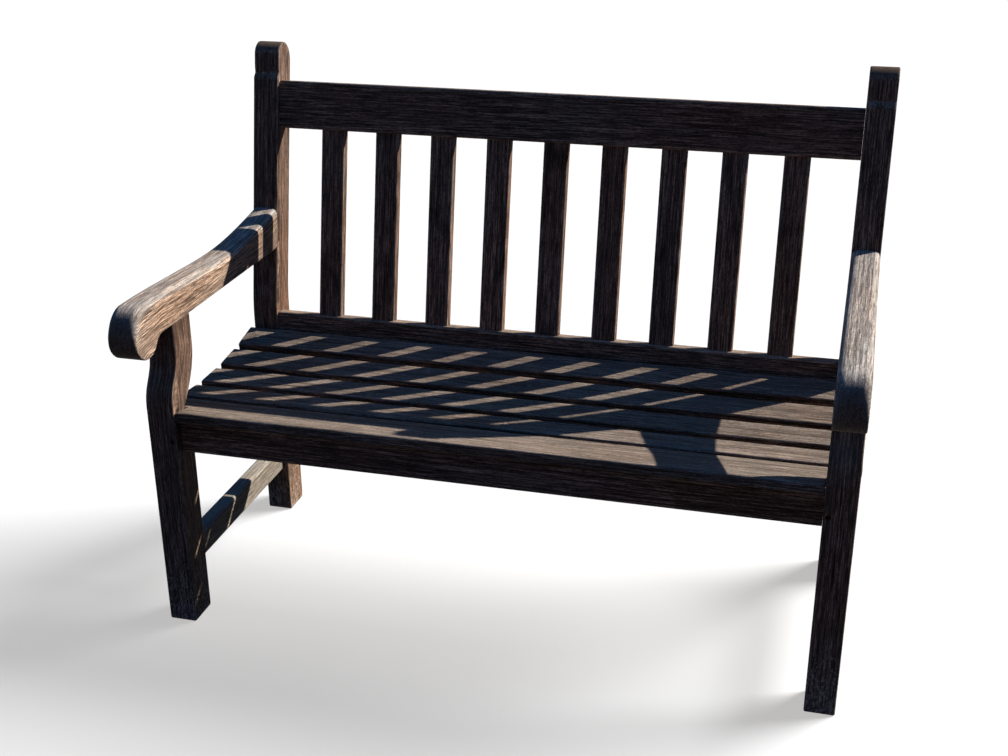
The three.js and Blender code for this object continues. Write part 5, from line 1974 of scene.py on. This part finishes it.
@dataclass
class Studio:
    """The floor, the lamps and the camera.

    Attributes:
        floor_reach, floor_roughness: the floor.
        floor_colour, floor_seen_colour: its colour for light on the bench, and for the camera.
        floor_lift, floor_lift_colour: the glow that makes it as pale as the photograph's ground.
        world_strengths, world_rise: the light from all round, and the heights that it rises between.
        world_colour, world_seen_colour: its colour on the bench, and for the camera.
        key_from, key_strength, key_colour, key_softness: the sun on the bench.
        floor_strength, floor_light, floor_softness: the same sun on the floor.
        fill_from, fill_to, fill_size, fill_power, fill_colour: the weak lamp in front.
        camera_place: where the camera stands, in the frame of the plan.
        right, down, forward: the directions of the picture's axes, and of the view.
        sensor_width, focal_pixels, principal, picture: the lens, and the picture in pixels.
    """

    floor_reach: float = 40.0
    floor_roughness: float = 0.95
    floor_colour: Colour = (0.02, 0.02, 0.02, 1.0)
    floor_seen_colour: Colour = (0.22, 0.22, 0.22, 1.0)
    floor_lift: float = 0.51
    floor_lift_colour: Colour = (1.0, 0.972, 0.93, 1.0)
    world_strengths: Span = (0.04, 0.26)
    world_colour: Colour = (0.12, 0.38, 1.0, 1.0)
    world_seen_colour: Colour = (1.0, 1.0, 1.0, 1.0)
    world_rise: Span = (-0.2, 1.0)
    key_from: Triple = (1.321, 1.02, 1.0)
    key_strength: float = 6.6
    key_colour: Triple = (1.0, 0.95, 0.88)
    key_softness: float = math.radians(0.6)
    floor_strength: float = 15.0
    floor_light: Triple = (1.0, 1.0, 1.0)
    floor_softness: float = math.radians(34)
    fill_from: Triple = (0.2, -2.9, 0.3)
    fill_to: Triple = (0.0, 0.0, 0.45)
    fill_size: float = 1.6
    fill_power: float = 2.3
    fill_colour: Triple = (0.88, 0.72, 1.0)
    camera_place: Triple = (0.56156, -1.97025, 1.40452)
    sensor_width: float = 36.0
    focal_pixels: float = 1397.5
    principal: Point = (501.29, 409.55)
    picture: tuple[int, int] = (1008, 756)
    right: Triple = (0.96659, 0.25626, -0.00487)
    down: Triple = (0.10032, -0.39577, -0.91285)
    forward: Triple = (-0.23586, 0.88187, -0.40826)

    def build(self, plan: Plan) -> None:
        """Makes the studio round the bench.

        Args:
            plan: the bench's plan, whose frame the camera was measured in.
        """
        self._camera(plan)
        floor = self._floor()
        self._world()
        self._sun("key", self.key_strength, self.key_softness, self.key_colour, floor, Lit.BENCH)
        self._sun("floor_key", self.floor_strength, self.floor_softness, self.floor_light, floor, Lit.FLOOR)
        self._fill(floor)

    def _camera(self, plan: Plan) -> None:
        """Sets the camera at the photograph's place and angle.

        Args:
            plan: the bench's plan, whose frame the camera was measured in.
        """
        data = bpy.data.cameras.new("camera")
        width, height = self.picture
        data.sensor_width = self.sensor_width
        data.lens = self.focal_pixels * self.sensor_width / width
        data.shift_x = (width / 2 - self.principal[0]) / width
        data.shift_y = (self.principal[1] - height / 2) / width
        camera = linked("camera", data)
        axes = Matrix((self.right, [-v for v in self.down], [-v for v in self.forward])).transposed()
        camera.matrix_world = plan.to_bench @ Matrix.Translation(self.camera_place) @ axes.to_4x4()
        bpy.context.scene.camera = camera

    def _floor(self) -> bpy.types.Object:
        """Lays the pale floor.

        Returns:
            The floor.
        """
        reach = self.floor_reach
        corners = [(-reach, -reach, 0), (reach, -reach, 0), (reach, reach, 0), (-reach, reach, 0)]
        mesh = bpy.data.meshes.new("floor")
        mesh.from_pydata(corners, [], [tuple(range(len(corners)))])
        material = bpy.data.materials.new("pale_floor")
        material.use_nodes = True
        graph = Graph(material.node_tree)
        shader = material.node_tree.nodes["Principled BSDF"].inputs
        seen = self._seen(graph)
        shader["Roughness"].default_value = self.floor_roughness
        shader["Specular IOR Level"].default_value = 0.0
        shader["Emission Color"].default_value = self.floor_lift_colour
        graph.feed(shader["Base Color"], graph.mix(seen, self.floor_colour, self.floor_seen_colour))
        graph.feed(shader["Emission Strength"], graph.product(seen, self.floor_lift))
        mesh.materials.append(material)
        floor = linked("floor", mesh)
        return floor

    def _world(self) -> None:
        """Lights the scene from all round."""
        world = bpy.data.worlds.new("studio")
        bpy.context.scene.world = world
        world.use_nodes = True
        graph = Graph(world.node_tree)
        background = world.node_tree.nodes["Background"].inputs
        up = graph.parts(graph.add("ShaderNodeTexCoord").outputs["Generated"])[2]
        light = graph.ramp(up, Ramp(*self.world_rise, *self.world_strengths))
        seen = self._seen(graph)
        graph.feed(background["Color"], graph.mix(seen, self.world_colour, self.world_seen_colour))
        graph.feed(background["Strength"], graph.math("MAXIMUM", light, seen))

    @staticmethod
    def _seen(graph: Graph) -> bpy.types.NodeSocket:
        """Tells the picture of the floor and the world from the light that they give.

        Args:
            graph: the tree that asks.

        Returns:
            1 for what the camera sees, directly or in a reflection, and 0 for light on the bench.
        """
        path = graph.add("ShaderNodeLightPath").outputs
        seen = graph.math("MAXIMUM", path["Is Camera Ray"], path["Is Glossy Ray"])
        return graph.math("MAXIMUM", seen, path["Is Transmission Ray"])

    def _sun(
        self, name: str, strength: float, softness: float, colour: Triple, floor: bpy.types.Object,
        lit: Lit,
    ) -> None:
        """Lights the bench or the floor from behind the bench's right end.

        Args:
            name: the lamp's name.
            strength: the lamp's strength.
            softness: the angle that the lamp is seen under.
            colour: the lamp's colour.
            floor: the floor.
            lit: what the lamp lights.
        """
        data = bpy.data.lights.new(name, "SUN")
        data.energy, data.color, data.angle = strength, colour, softness
        lamp = linked(name, data)
        lamp.matrix_world = Vector(self.key_from).to_track_quat("Z", "Y").to_matrix().to_4x4()
        self._choose_lit(lamp, floor, lit)

    def _fill(self, floor: bpy.types.Object) -> None:
        """Lights the bench's upright faces from low in front of it.

        Args:
            floor: the floor, which this lamp leaves out.
        """
        data = bpy.data.lights.new("fill", "AREA")
        data.size, data.energy, data.color = self.fill_size, self.fill_power, self.fill_colour
        lamp = linked("fill", data)
        place = Vector(self.fill_from)
        aim = (Vector(self.fill_to) - place).to_track_quat("-Z", "Y")
        lamp.matrix_world = Matrix.Translation(place) @ aim.to_matrix().to_4x4()
        self._choose_lit(lamp, floor, Lit.BENCH)

    @staticmethod
    def _choose_lit(lamp: bpy.types.Object, floor: bpy.types.Object, lit: Lit) -> None:
        """Chooses whether a lamp lights the floor alone or everything else.

        Args:
            lamp: the lamp.
            floor: the floor.
            lit: what the lamp lights.
        """
        receivers = bpy.data.collections.new(f"{lamp.name}_receivers")
        receivers.objects.link(floor)
        receivers.collection_objects[0].light_linking.link_state = lit.value
        lamp.light_linking.receiver_collection = receivers


def build_pegs(plan: Plan, wood: bpy.types.Material) -> None:
    """Makes the pegs of the frame's joints and the plugs of the arms.

    Args:
        plan: the bench's plan.
        wood: the pegs' finish.
    """
    joint_pegs = (
        "front_rail_peg", "rear_seat_rail_peg", "side_rail_front_peg", "side_rail_rear_peg",
        "stretcher_front_peg", "stretcher_rear_peg", "top_rail_peg", "lower_back_rail_peg",
    )
    for name, kinds, diameter in (
        ("joint_pegs", joint_pegs, JOINT_PEG_DIAMETER), ("arm_plugs", ("arm_plug",), ARM_PLUG_DIAMETER),
    ):
        nodes = [f"{kind}_{side.label}" for kind in kinds for side in Side]
        pegs = Pegs(diameter, PEG_SHOWN_LENGTH, PEG_BELOW)
        pegs.build(name, [peg_end(node, plan) for node in nodes], wood, "peg_wood", nodes)


def main() -> None:
    """Builds the bench and its studio."""
    logging.basicConfig(level=logging.INFO, format="%(message)s")
    bpy.context.scene.view_settings.view_transform = "Standard"
    plan = Plan(front_y=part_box("front_leg_left")[0].y)
    Studio().build(plan)
    groups = Groups()
    frame_wood, stretcher_wood, seat_wood, arm_wood, peg_wood = (
        finish.material(groups) for finish in (FRAME_WOOD, STRETCHER_WOOD, SEAT_WOOD, ARM_WOOD, PEG_WOOD)
    )
    seat = Seat(plan, Dish(top_at_front=plan.seat_height - Seat.slat_thickness))
    for side in Side:
        BenchEnd(plan, seat, side).build(frame_wood, arm_wood, stretcher_wood)
    seat.build(frame_wood, seat_wood)
    Back(plan).build(frame_wood)
    build_pegs(plan, peg_wood)
    steel = SCREW_STEEL.material()
    for side in Side:
        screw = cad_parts[f"arm_screw_{side.label}"]
        screw.data.materials.clear()
        screw.data.materials.append(steel)


if __name__ == "__main__":
    main()
